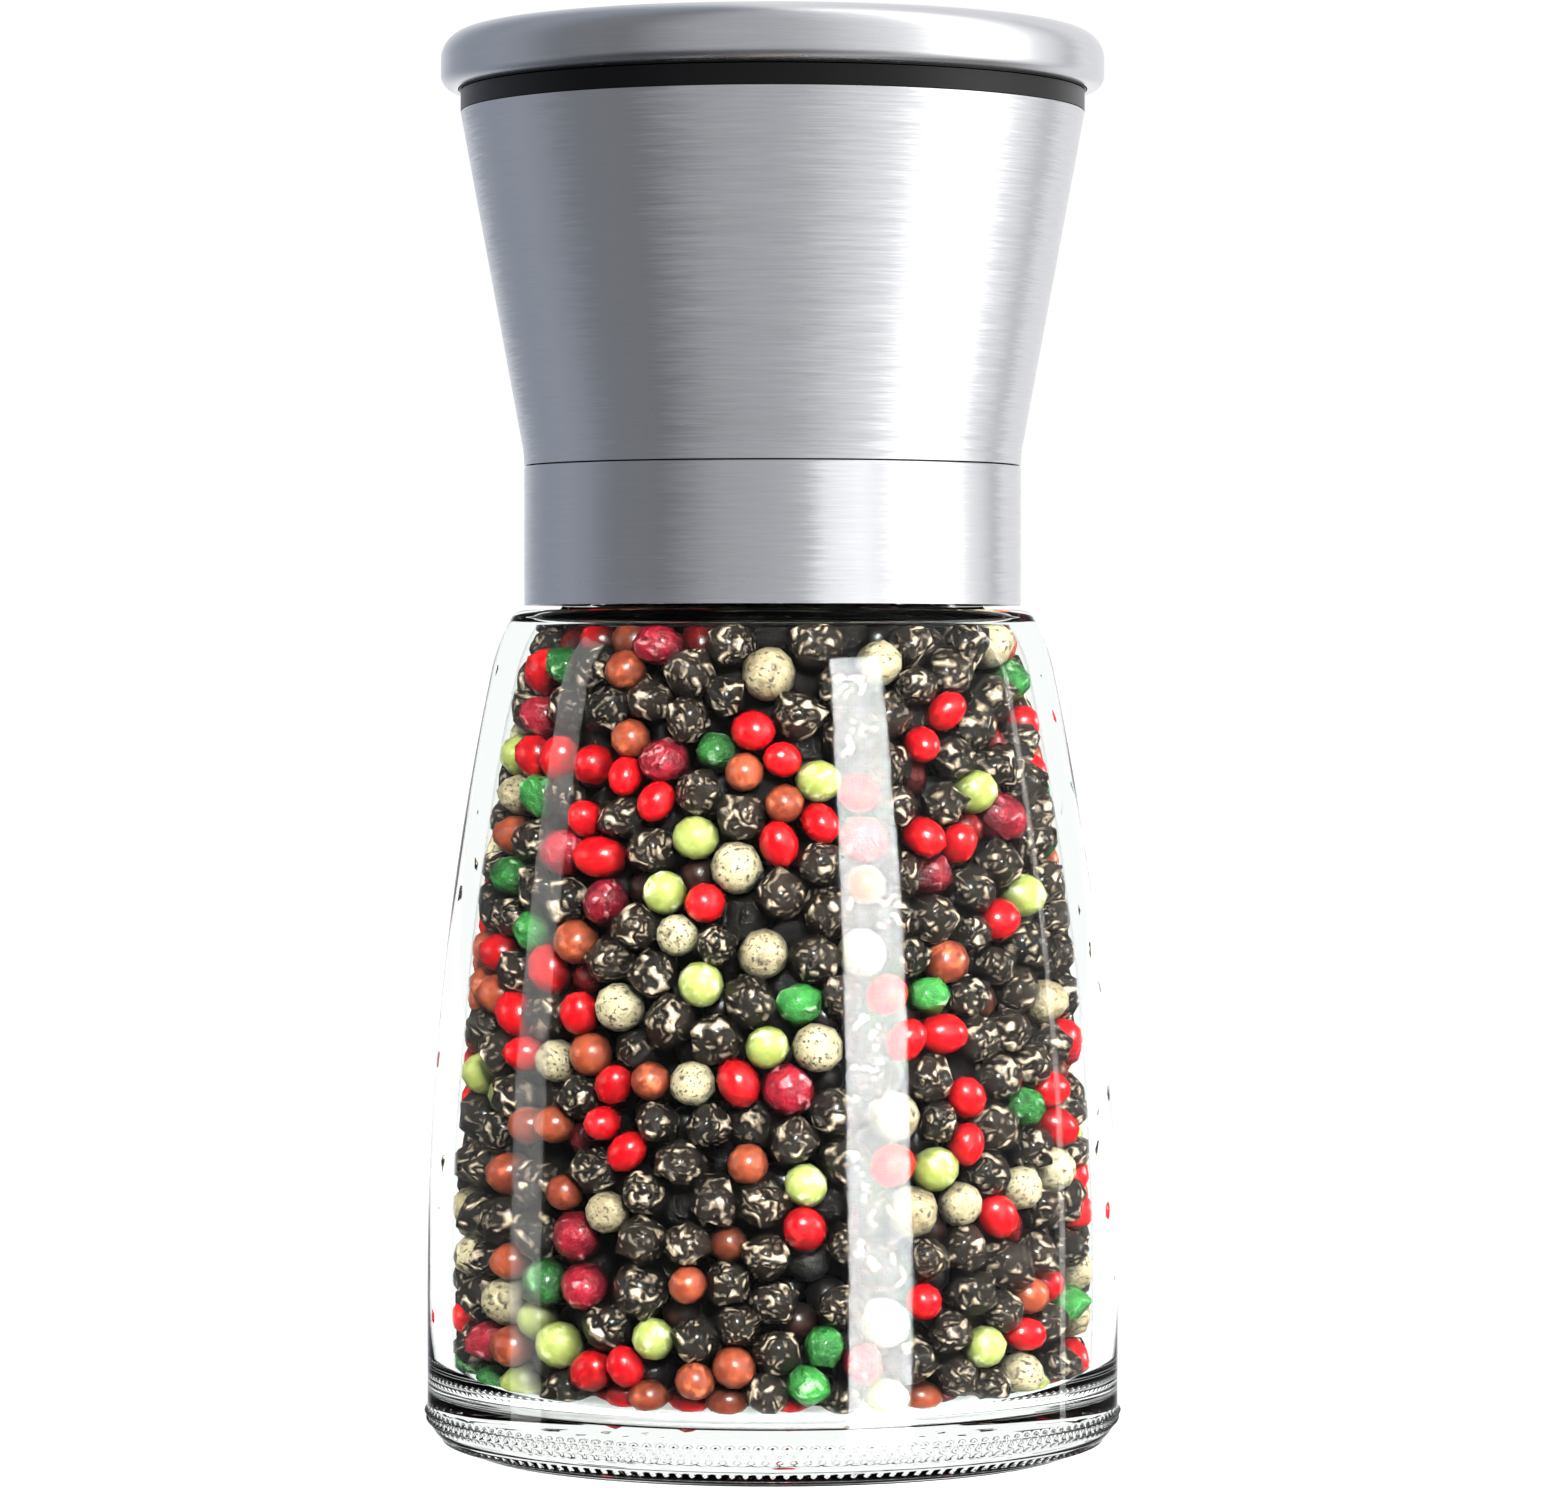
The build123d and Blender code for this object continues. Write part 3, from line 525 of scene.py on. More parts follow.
def berry_material(
    name, deep, mid, crest, gloss, crease_scale, ridge, relief, specks=0.0, coat=0.0
):
    """Dried skin: deep and mid tones, broken ridges, specks and a soft gloss, with painted shade deeper
    inside the heap.
    """
    material, tree, shader = new_material(name)
    link = tree.links.new
    skin = add(tree, "ShaderNodeAttribute", "own surface", attribute_name="skin")
    own = add(tree, "ShaderNodeAttribute", "own tone", attribute_name="tone")
    light = add(tree, "ShaderNodeAttribute", "light by depth", attribute_name="light")
    creases = add(
        tree, "ShaderNodeTexNoise", "creases",
        {"Scale": crease_scale, "Detail": 1.5, "Roughness": 0.5, "Distortion": 0.6},
        noise_type="RIDGED_MULTIFRACTAL",
    )
    link(skin.outputs["Vector"], creases.inputs["Vector"])
    edge = add(
        tree, "ShaderNodeMapRange", "tops of the creases",
        {"From Min": ridge, "From Max": ridge + 0.25},
    )
    link(creases.outputs["Fac"], edge.inputs["Value"])
    patches = add(
        tree, "ShaderNodeTexNoise", "patches", {"Scale": 2.1, "Detail": 4.0, "Roughness": 0.7}
    )
    link(skin.outputs["Vector"], patches.inputs["Vector"])
    blotch = add(tree, "ShaderNodeMapRange", "patch contrast", {"From Min": 0.42, "From Max": 0.62})
    link(patches.outputs["Fac"], blotch.inputs["Value"])
    own_share = add(tree, "ShaderNodeMath", values={1: 0.65}, operation="MULTIPLY")
    patch_share = add(tree, "ShaderNodeMath", values={1: 0.45}, operation="MULTIPLY")
    both = add(tree, "ShaderNodeMath", operation="ADD", use_clamp=True)
    link(own.outputs["Fac"], own_share.inputs[0])
    link(blotch.outputs["Result"], patch_share.inputs[0])
    link(own_share.outputs["Value"], both.inputs[0])
    link(patch_share.outputs["Value"], both.inputs[1])
    body = add(
        tree, "ShaderNodeMix", "deep to mid", {"A": (*deep, 1), "B": (*mid, 1)}, data_type="RGBA"
    )
    link(both.outputs["Value"], body.inputs["Factor"])
    # Ridge tops take the crest colour: partly the skin's own lighter ridges, partly a painted highlight.
    # On the cream berries the crest is dark and lies in the sunken cracks as painted shade.
    broken = add(tree, "ShaderNodeMath", "broken ridges", operation="MULTIPLY")
    link(edge.outputs["Result"], broken.inputs[0])
    link(blotch.outputs["Result"], broken.inputs[1])
    ridge_tone_and_painted_light = add(tree, "ShaderNodeMix", "ridge tone and painted light", {"B": (*crest, 1)}, data_type="RGBA")
    link(body.outputs["Result"], ridge_tone_and_painted_light.inputs["A"])
    link(broken.outputs["Value"], ridge_tone_and_painted_light.inputs["Factor"])
    dots = add(tree, "ShaderNodeTexNoise", "specks", {"Scale": 6.0, "Detail": 3.0})
    link(skin.outputs["Vector"], dots.inputs["Vector"])
    dot_mask = add(
        tree, "ShaderNodeMapRange", "speck edge",
        {"From Min": 0.56, "From Max": 0.64, "To Max": specks},
    )
    link(dots.outputs["Fac"], dot_mask.inputs["Value"])
    specked = add(
        tree, "ShaderNodeMix", "specked", {"B": (0.02, 0.012, 0.008, 1)}, data_type="RGBA"
    )
    link(ridge_tone_and_painted_light.outputs["Result"], specked.inputs["A"])
    link(dot_mask.outputs["Result"], specked.inputs["Factor"])
    # Painted shade: the skin's colour goes to near black where the light attribute is low, deep in the
    # heap.
    painted_shade_between_berries = add(
        tree, "ShaderNodeMix", "dark between the berries",
        {"A": (0.004, 0.003, 0.003, 1)},
        data_type="RGBA",
    )
    link(light.outputs["Fac"], painted_shade_between_berries.inputs["Factor"])
    link(specked.outputs["Result"], painted_shade_between_berries.inputs["B"])
    link(painted_shade_between_berries.outputs["Result"], shader.inputs["Base Color"])
    rough = add(tree, "ShaderNodeMapRange", "roughness", {"To Min": gloss, "To Max": gloss + 0.12})
    link(patches.outputs["Fac"], rough.inputs["Value"])
    link(rough.outputs["Result"], shader.inputs["Roughness"])
    folds = add(tree, "ShaderNodeMath", "folds", operation="ADD")
    link(creases.outputs["Fac"], folds.inputs[0])
    link(patches.outputs["Fac"], folds.inputs[1])
    bump = add(tree, "ShaderNodeBump", values={"Strength": 1.0, "Distance": relief * MM})
    link(folds.outputs["Value"], bump.inputs["Height"])
    link(bump.outputs["Normal"], shader.inputs["Normal"])
    # The coat fades with the same painted shade, so berries deep in the heap lose their gloss.
    waxy = add(tree, "ShaderNodeMath", "wax", {1: coat}, operation="MULTIPLY")
    link(light.outputs["Fac"], waxy.inputs[0])
    link(waxy.outputs["Value"], shader.inputs["Coat Weight"])
    shader.inputs["Coat Roughness"].default_value = 0.15
    shader.inputs["Coat IOR"].default_value = 1.4
    shader.inputs["Specular IOR Level"].default_value = 0.45
    return material


# crest is the ridge colour: lighter as partly a painted highlight, and on the cream berries dark as
# painted shade in the cracks.
BERRY_SKINS = {
    "black": dict(
        deep=(0.002, 0.0015, 0.001),
        mid=(0.016, 0.009, 0.006),
        crest=(0.95, 0.72, 0.52),
        gloss=0.13,
        crease_scale=2.1,
        ridge=0.03,
        relief=0.9,
        coat=0.35,
    ),
    "red": dict(
        deep=(0.20, 0.000, 0.002),
        mid=(0.62, 0.001, 0.004),
        crest=(0.70, 0.01, 0.01),
        gloss=0.20,
        crease_scale=1.0,
        ridge=0.06,
        relief=0.06,
        coat=0.1,
    ),
    "crimson": dict(
        deep=(0.07, 0.002, 0.006),
        mid=(0.36, 0.008, 0.022),
        crest=(0.90, 0.35, 0.38),
        gloss=0.15,
        crease_scale=1.6,
        ridge=0.13,
        relief=0.45,
        coat=0.4,
    ),
    "brown": dict(
        deep=(0.10, 0.013, 0.006),
        mid=(0.30, 0.055, 0.020),
        crest=(0.5, 0.12, 0.05),
        gloss=0.24,
        crease_scale=1.0,
        ridge=0.05,
        relief=0.06,
        coat=0.15,
    ),
    "pale_green": dict(
        deep=(0.16, 0.18, 0.02),
        mid=(0.34, 0.38, 0.10),
        crest=(0.8, 0.85, 0.5),
        gloss=0.4,
        crease_scale=1.1,
        ridge=0.05,
        relief=0.08,
        coat=0.2,
    ),
    "dark_green": dict(
        deep=(0.006, 0.055, 0.010),
        mid=(0.035, 0.24, 0.04),
        crest=(0.45, 0.75, 0.40),
        gloss=0.16,
        crease_scale=1.1,
        ridge=0.14,
        relief=0.7,
        coat=0.4,
    ),
    "cream": dict(
        deep=(0.20, 0.14, 0.07),
        mid=(0.52, 0.45, 0.28),
        crest=(0.05, 0.03, 0.015),
        gloss=0.5,
        crease_scale=1.6,
        ridge=0.02,
        relief=-0.3,
        specks=0.9,
    ),
}

places, sizes, kinds, depth = poured_berries()
for kind, (_, _, _, stretch, wrinkle) in KINDS.items():
    look = berry_material(f"{kind}_peppercorn_skin", **BERRY_SKINS[kind])
    same = [n for n, k in enumerate(kinds) if k == kind]
    outer = [n for n in same if depth[n] < OUTER_LAYERS * sizes[n]]
    inner = [n for n in same if depth[n] >= OUTER_LAYERS * sizes[n]]
    berries = berry_mesh(outer, places, sizes, stretch, wrinkle, 2)
    stands_for = ["peppercorns"] if kind == "black" else []
    piece(f"peppercorns_{kind}", berries, "jar", stands_for, look)
    core = berry_mesh(inner, places, sizes, stretch, wrinkle, 1)
    piece(f"peppercorns_{kind}_core", core, "jar", [], look)


# ---------------------------------------------------------------------------
# Steel ring and sleeve. Rolled stainless sheet 0.5 mm thick, pressed over the
# collar and over the head's plastic body, and brushed while it turned, so the
# fine scratches run round it.

RING_RADIUS = 23.7
SHEET = 0.5
RING_STEPS = 256
ring_low, ring_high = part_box("lower_ring")
sleeve_low, sleeve_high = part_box("head_sleeve")
RING_BOTTOM = ring_low.z / MM
RING_TOP = ring_high.z / MM
RING_HEM = 0.8
SLEEVE_BOTTOM = sleeve_low.z / MM - 0.1
SLEEVE_TOP = sleeve_high.z / MM
SLEEVE_TOP_RADIUS = sleeve_high.x / MM
SLEEVE_HEM = 1.0
FINENESS = 4200.0
BRUSH_LAYERS = (
    # noise: scale along the scratches, share of the fineness across them, detail
    ("scratches", 170.0, 1.0, 6.0),
    ("bands", 26.0, 0.16, 3.0),
)


def brushing_group():
    """Fine scratches and broad bands round Z, and a swaying normal, from Object coordinates."""
    group = bpy.data.node_groups.new("brushing_round_z", "ShaderNodeTree")
    sockets = group.interface
    sockets.new_socket("Fineness", in_out="INPUT", socket_type="NodeSocketFloat")
    sockets.new_socket("Sway", in_out="INPUT", socket_type="NodeSocketFloat")
    sockets.new_socket("Scratches", in_out="OUTPUT", socket_type="NodeSocketFloat")
    sockets.new_socket("Bands", in_out="OUTPUT", socket_type="NodeSocketFloat")
    sockets.new_socket("Normal", in_out="OUTPUT", socket_type="NodeSocketVector")
    inside = add(group, "NodeGroupInput")
    outside = add(group, "NodeGroupOutput")
    link = group.links.new
    place = add(group, "ShaderNodeTexCoord")
    split = add(group, "ShaderNodeSeparateXYZ")
    flat = add(group, "ShaderNodeCombineXYZ", "away from the axis")
    reach = add(group, "ShaderNodeVectorMath", operation="LENGTH")
    link(place.outputs["Object"], split.inputs["Vector"])
    link(split.outputs["X"], flat.inputs["X"])
    link(split.outputs["Y"], flat.inputs["Y"])
    link(flat.outputs["Vector"], reach.inputs[0])
    across = add(group, "ShaderNodeMath", "across the scratches", operation="ADD")
    link(split.outputs["Z"], across.inputs[0])
    link(reach.outputs["Value"], across.inputs[1])
    fine = add(group, "ShaderNodeMath", operation="MULTIPLY")
    link(across.outputs["Value"], fine.inputs[0])
    link(inside.outputs["Fineness"], fine.inputs[1])
    results = []
    for label, along, squeeze, detail in BRUSH_LAYERS:
        x = add(group, "ShaderNodeMath", values={1: along}, operation="MULTIPLY")
        y = add(group, "ShaderNodeMath", values={1: along}, operation="MULTIPLY")
        z = add(group, "ShaderNodeMath", values={1: squeeze}, operation="MULTIPLY")
        link(split.outputs["X"], x.inputs[0])
        link(split.outputs["Y"], y.inputs[0])
        link(fine.outputs["Value"], z.inputs[0])
        joined = add(group, "ShaderNodeCombineXYZ")
        for axis, source in (("X", x), ("Y", y), ("Z", z)):
            link(source.outputs["Value"], joined.inputs[axis])
        grain = add(
            group, "ShaderNodeTexNoise", label, {"Scale": 1.0, "Detail": detail, "Roughness": 0.65}
        )
        link(joined.outputs["Vector"], grain.inputs["Vector"])
        results.append(grain)
    scratches, bands = results
    link(scratches.outputs["Fac"], outside.inputs["Scratches"])
    link(bands.outputs["Fac"], outside.inputs["Bands"])
    surface = add(group, "ShaderNodeNewGeometry")
    up = add(group, "ShaderNodeCombineXYZ", values={"Z": 1.0})
    around = add(group, "ShaderNodeVectorMath", "round the axis", operation="CROSS_PRODUCT")
    link(up.outputs["Vector"], around.inputs[0])
    link(surface.outputs["Normal"], around.inputs[1])
    centred = add(group, "ShaderNodeMath", values={1: 0.5}, operation="SUBTRACT")
    link(scratches.outputs["Fac"], centred.inputs[0])
    swayed = add(group, "ShaderNodeMath", operation="MULTIPLY")
    link(centred.outputs["Value"], swayed.inputs[0])
    link(inside.outputs["Sway"], swayed.inputs[1])
    sideways = add(group, "ShaderNodeVectorMath", operation="SCALE")
    link(around.outputs["Vector"], sideways.inputs[0])
    link(swayed.outputs["Value"], sideways.inputs["Scale"])
    tilted = add(group, "ShaderNodeVectorMath", operation="ADD")
    link(surface.outputs["Normal"], tilted.inputs[0])
    link(sideways.outputs["Vector"], tilted.inputs[1])
    unit = add(group, "ShaderNodeVectorMath", operation="NORMALIZE")
    link(tilted.outputs["Vector"], unit.inputs[0])
    link(unit.outputs["Vector"], outside.inputs["Normal"])
    return group


brushing = brushing_group()


def brushed_steel(name, tint, smooth, rough, fineness, sway):
    """Stainless steel brushed round Z: highlights run up and down, scratches run round."""
    material, tree, shader = new_material(name)
    link = tree.links.new
    marks = add(
        tree, "ShaderNodeGroup", values={"Fineness": fineness, "Sway": sway}, node_tree=brushing
    )
    colour = add(
        tree, "ShaderNodeMix", "bright and dull scratches",
        {"A": (*[0.86 * c for c in tint], 1), "B": (*tint, 1)},
        data_type="RGBA",
    )
    link(marks.outputs["Scratches"], colour.inputs["Factor"])
    link(colour.outputs["Result"], shader.inputs["Base Color"])
    range_of = add(
        tree, "ShaderNodeMapRange", "roughness",
        {"From Min": 0.3, "From Max": 0.7, "To Min": smooth, "To Max": rough},
    )
    link(marks.outputs["Bands"], range_of.inputs["Value"])
    link(range_of.outputs["Result"], shader.inputs["Roughness"])
    bump = add(tree, "ShaderNodeBump", values={"Strength": 0.35, "Distance": 0.00003})
    link(marks.outputs["Scratches"], bump.inputs["Height"])
    link(marks.outputs["Normal"], bump.inputs["Normal"])
    link(bump.outputs["Normal"], shader.inputs["Normal"])
    tangent = add(tree, "ShaderNodeTangent", direction_type="RADIAL", axis="Z")
    link(tangent.outputs["Tangent"], shader.inputs["Tangent"])
    shader.inputs["Metallic"].default_value = 1.0
    shader.inputs["Anisotropic"].default_value = 0.7
    shader.inputs["Anisotropic Rotation"].default_value = 0.25
    return material


STEEL_TINT = (0.72, 0.725, 0.74)
sleeve_steel = brushed_steel("brushed_sleeve_steel", STEEL_TINT, 0.21, 0.30, FINENESS, 0.30)
ring_steel = brushed_steel("brushed_ring_steel", STEEL_TINT, 0.20, 0.28, FINENESS, 0.16)

ring_mesh = outline_mesh(
    [
        (RING_RADIUS, RING_BOTTOM),
        (RING_RADIUS, RING_TOP),
        (RING_RADIUS - SHEET, RING_TOP),
        (RING_RADIUS - SHEET, RING_BOTTOM + SHEET),
        (RING_RADIUS - SHEET - RING_HEM, RING_BOTTOM + SHEET),
        (RING_RADIUS - SHEET - RING_HEM, RING_BOTTOM),
        (RING_RADIUS, RING_BOTTOM),
    ],
    rounds=[((RING_RADIUS, RING_TOP), 0.18), ((RING_RADIUS - SHEET, RING_TOP), 0.1)],
)
turned(ring_mesh, RING_STEPS)
ring = piece(
    "lower_steel_ring", ring_mesh, "collar", ["lower_ring"], ring_steel, crease=35
)

sleeve_mesh = outline_mesh(
    [
        (RING_RADIUS, SLEEVE_BOTTOM),
        (RING_RADIUS, SLEEVE_BOTTOM + SLEEVE_HEM),
        (SLEEVE_TOP_RADIUS, SLEEVE_TOP),
        (SLEEVE_TOP_RADIUS - SHEET, SLEEVE_TOP),
        (RING_RADIUS - SHEET, SLEEVE_BOTTOM + SLEEVE_HEM),
        (RING_RADIUS - SHEET, SLEEVE_BOTTOM),
        (RING_RADIUS, SLEEVE_BOTTOM),
    ],
    rounds=[
        ((RING_RADIUS, SLEEVE_BOTTOM + SLEEVE_HEM), 0.9),
        ((SLEEVE_TOP_RADIUS, SLEEVE_TOP), 0.18),
    ],
)
turned(sleeve_mesh, RING_STEPS)
piece(
    "flared_steel_sleeve", sleeve_mesh, "head", ["head_sleeve"], sleeve_steel, crease=35
)


# ---------------------------------------------------------------------------
# Lid. Drawn from one steel disc with a rounded top edge, its rim rolled in,
# then brushed while it turned; the plastic plug is snapped inside it.

LID_SHEET = 0.6
LID_TOP_ROUND = 2.6
LID_RIM_ROUND = 1.3
LID_RIM_INSIDE = 30.0
LID_FLAT_INSET = 4.0
lid_low, lid_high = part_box("lid_shell")
LID_RADIUS = lid_high.x / MM
LID_TOP = lid_high.z / MM
LID_BOTTOM = lid_low.z / MM


def quarter(middle, radius, start, count=10):
    """A quarter circle of points, turning anticlockwise from start degrees."""
    points = []
    for n in range(count + 1):
        angle = math.radians(start + 90 * n / count)
        points.append((middle[0] + radius * math.cos(angle), middle[1] + radius * math.sin(angle)))
    return points


rim_middle = (LID_RADIUS - LID_RIM_ROUND, LID_BOTTOM + LID_RIM_ROUND)
top_middle = (LID_RADIUS - LID_TOP_ROUND, LID_TOP - LID_TOP_ROUND)
lid_mesh = outline_mesh(
    [(LID_RIM_INSIDE, LID_BOTTOM)]
    + quarter(rim_middle, LID_RIM_ROUND, 270)
    + quarter(top_middle, LID_TOP_ROUND, 0)
    + [(LID_RADIUS - LID_TOP_ROUND - LID_FLAT_INSET, LID_TOP), (0, LID_TOP), (0, LID_TOP - LID_SHEET)]
    + quarter(top_middle, LID_TOP_ROUND - LID_SHEET, 0)[::-1]
    + quarter(rim_middle, LID_RIM_ROUND - LID_SHEET, 270)[::-1]
    + [(LID_RIM_INSIDE, LID_BOTTOM + LID_SHEET), (LID_RIM_INSIDE, LID_BOTTOM)]
)
turned(lid_mesh, RING_STEPS)
lid_steel = brushed_steel("brushed_lid_steel", STEEL_TINT, 0.20, 0.30, FINENESS, 0.05)
piece("steel_lid", lid_mesh, "lid", ["lid_shell"], lid_steel, crease=35)


# ---------------------------------------------------------------------------
# Black plastic parts. Injection-moulded, with a faint spark-eroded grain from
# the mould: the collar, the head's body and lip, the knob, the burr carrier,
# the retainer ring and the plug in the lid.


def moulded_plastic(name, colour, rough, grain):
    """Moulded plastic: even colour with faint flow, fine mould grain in bump and roughness."""
    material, tree, shader = new_material(name)
    link = tree.links.new
    place = add(tree, "ShaderNodeTexCoord")
    grit = add(tree, "ShaderNodeTexNoise", "mould grain", {"Scale": 3200.0, "Detail": 2.0})
    flow = add(tree, "ShaderNodeTexNoise", "flow marks", {"Scale": 90.0})
    link(place.outputs["Object"], grit.inputs["Vector"])
    link(place.outputs["Object"], flow.inputs["Vector"])
    shade = add(
        tree, "ShaderNodeMix", "flow shade",
        {"A": (*[0.8 * c for c in colour], 1), "B": (*[1.2 * c for c in colour], 1)},
        data_type="RGBA",
    )
    link(flow.outputs["Fac"], shade.inputs["Factor"])
    link(shade.outputs["Result"], shader.inputs["Base Color"])
    range_of = add(
        tree, "ShaderNodeMapRange", "roughness", {"To Min": rough - 0.06, "To Max": rough + 0.06}
    )
    link(grit.outputs["Fac"], range_of.inputs["Value"])
    link(range_of.outputs["Result"], shader.inputs["Roughness"])
    shader.inputs["Specular IOR Level"].default_value = 0.3
    bump = add(tree, "ShaderNodeBump", values={"Strength": grain, "Distance": 0.00002})
    link(grit.outputs["Fac"], bump.inputs["Height"])
    link(bump.outputs["Normal"], shader.inputs["Normal"])
    return material


def dress(material, *names):
    """Gives CAD nodes a material in place of the one they were packed with."""
    for name in names:
        mesh = nodes[name].data
        mesh.materials.clear()
        mesh.materials.append(material)


black_plastic = moulded_plastic("black_moulded_plastic", (0.006, 0.006, 0.007), 0.32, 0.3)
dress(
    black_plastic,
    "head_liner",
    "neck_collar",
    "lid_plug",
    "adjuster_knob",
    "burr_carrier",
    "burr_retainer",
)
dress(moulded_plastic("white_slip_plastic", (0.78, 0.78, 0.75), 0.35, 0.2), "glide_ring")


# ---------------------------------------------------------------------------
# Ceramic burrs. Pressed alumina, fired and left matt, with a grainy surface
# and a little pepper dust in patches.


def ceramic_material():
    """Matt fired alumina: a fine grain, with brown pepper dust in patches."""
    material, tree, shader = new_material("fired_white_ceramic")
    link = tree.links.new
    place = add(tree, "ShaderNodeTexCoord")
    dust = add(tree, "ShaderNodeTexNoise", "pepper dust", {"Scale": 420.0, "Detail": 5.0})
    grit = add(tree, "ShaderNodeTexNoise", "fired grain", {"Scale": 2600.0})
    mask = add(
        tree, "ShaderNodeMapRange", "dusty patches",
        {"From Min": 0.55, "From Max": 0.75, "To Max": 0.45},
    )
    tone = add(
        tree, "ShaderNodeMix",
        values={"A": (0.86, 0.85, 0.81, 1), "B": (0.36, 0.29, 0.20, 1)},
        data_type="RGBA",
    )
    link(place.outputs["Object"], dust.inputs["Vector"])
    link(place.outputs["Object"], grit.inputs["Vector"])
    link(dust.outputs["Fac"], mask.inputs["Value"])
    link(mask.outputs["Result"], tone.inputs["Factor"])
    link(tone.outputs["Result"], shader.inputs["Base Color"])
    rough = add(tree, "ShaderNodeMapRange", "roughness", {"To Min": 0.45, "To Max": 0.65})
    link(grit.outputs["Fac"], rough.inputs["Value"])
    link(rough.outputs["Result"], shader.inputs["Roughness"])
    bump = add(tree, "ShaderNodeBump", values={"Strength": 0.4, "Distance": 0.00004})
    link(grit.outputs["Fac"], bump.inputs["Height"])
    link(bump.outputs["Normal"], shader.inputs["Normal"])
    return material


dress(ceramic_material(), "inner_burr", "outer_burr")


# ---------------------------------------------------------------------------
# Small steel parts. Turned and cold-formed: the spindle, its push-on clip, the
# spring, the washer and the nut in the knob.

dress(
    brushed_steel("turned_small_steel", (0.62, 0.62, 0.63), 0.22, 0.34, 7000.0, 0.04),
    "spindle",
    "spindle_clip",
    "burr_spring",
    "spring_washer",
    "knob_nut",
)


# ---------------------------------------------------------------------------
# Silicone parts. Soft translucent white: the gasket on the jar's neck and the
# ring that seals the lid's plug.


def silicone_material():
    """Milky rubber with a faint haze in its colour, gloss and surface."""
    material, tree, shader = new_material("soft_silicone")
    link = tree.links.new
    place = add(tree, "ShaderNodeTexCoord")
    haze = add(tree, "ShaderNodeTexNoise", "haze", {"Scale": 300.0})
    tone = add(
        tree, "ShaderNodeMix",
        values={"A": (0.66, 0.67, 0.67, 1), "B": (0.80, 0.81, 0.81, 1)},
        data_type="RGBA",
    )
    rough = add(tree, "ShaderNodeMapRange", "roughness", {"To Min": 0.42, "To Max": 0.6})
    bump = add(tree, "ShaderNodeBump", values={"Strength": 0.15, "Distance": 0.00005})
    link(place.outputs["Object"], haze.inputs["Vector"])
    link(haze.outputs["Fac"], tone.inputs["Factor"])
    link(haze.outputs["Fac"], rough.inputs["Value"])
    link(haze.outputs["Fac"], bump.inputs["Height"])
    link(tone.outputs["Result"], shader.inputs["Base Color"])
    link(rough.outputs["Result"], shader.inputs["Roughness"])
    link(bump.outputs["Normal"], shader.inputs["Normal"])
    return material


dress(silicone_material(), "neck_gasket", "lid_seal")


# ---------------------------------------------------------------------------
# Studio: a pale floor, a bright surround with a darker front and left side,
# soft boxes for the glass, the ring and the berries, and the camera in front.

REFLECTED_LIGHT = 3.0
FILL_LIGHT = 0.2
LOW_START = math.sin(math.radians(-24))
LOW_END = math.sin(math.radians(-52))
LOW_SHARE = 0.28
FIRST_BOUNCE = 0.5
IN_AND_OUT_OF_JAR = 3.5
ROOM_WALLS = (
    # degrees from the front, where 90 is the right, and the wall's colour there
    (-180, (0.36, 0.36, 0.365)),
    (-165, (0.235, 0.245, 0.262)),
    (-145, (0.128, 0.138, 0.158)),
    (-130, (0.110, 0.120, 0.140)),
    (-110, (0.120, 0.130, 0.150)),
    (-95, (0.110, 0.116, 0.134)),
    (-80, (0.076, 0.081, 0.090)),
    (-62, (0.080, 0.082, 0.088)),
    (-52, (0.072, 0.074, 0.080)),
    (-40, (0.112, 0.113, 0.120)),
    (-25, (0.155, 0.158, 0.165)),
    (-10, (0.172, 0.174, 0.182)),
    (5, (0.186, 0.188, 0.196)),
    (15, (0.215, 0.217, 0.225)),
    (25, (0.275, 0.277, 0.283)),
    (38, (0.335, 0.335, 0.340)),
    (48, (0.380, 0.380, 0.384)),
    (58, (0.560, 0.560, 0.560)),
    (70, (0.800, 0.800, 0.800)),
    (90, (0.760, 0.760, 0.760)),
    (102, (0.400, 0.400, 0.403)),
    (115, (0.320, 0.320, 0.325)),
    (124, (0.205, 0.206, 0.212)),
    (134, (0.330, 0.330, 0.336)),
    (160, (0.300, 0.300, 0.306)),
    (180, (0.36, 0.36, 0.365)),
)


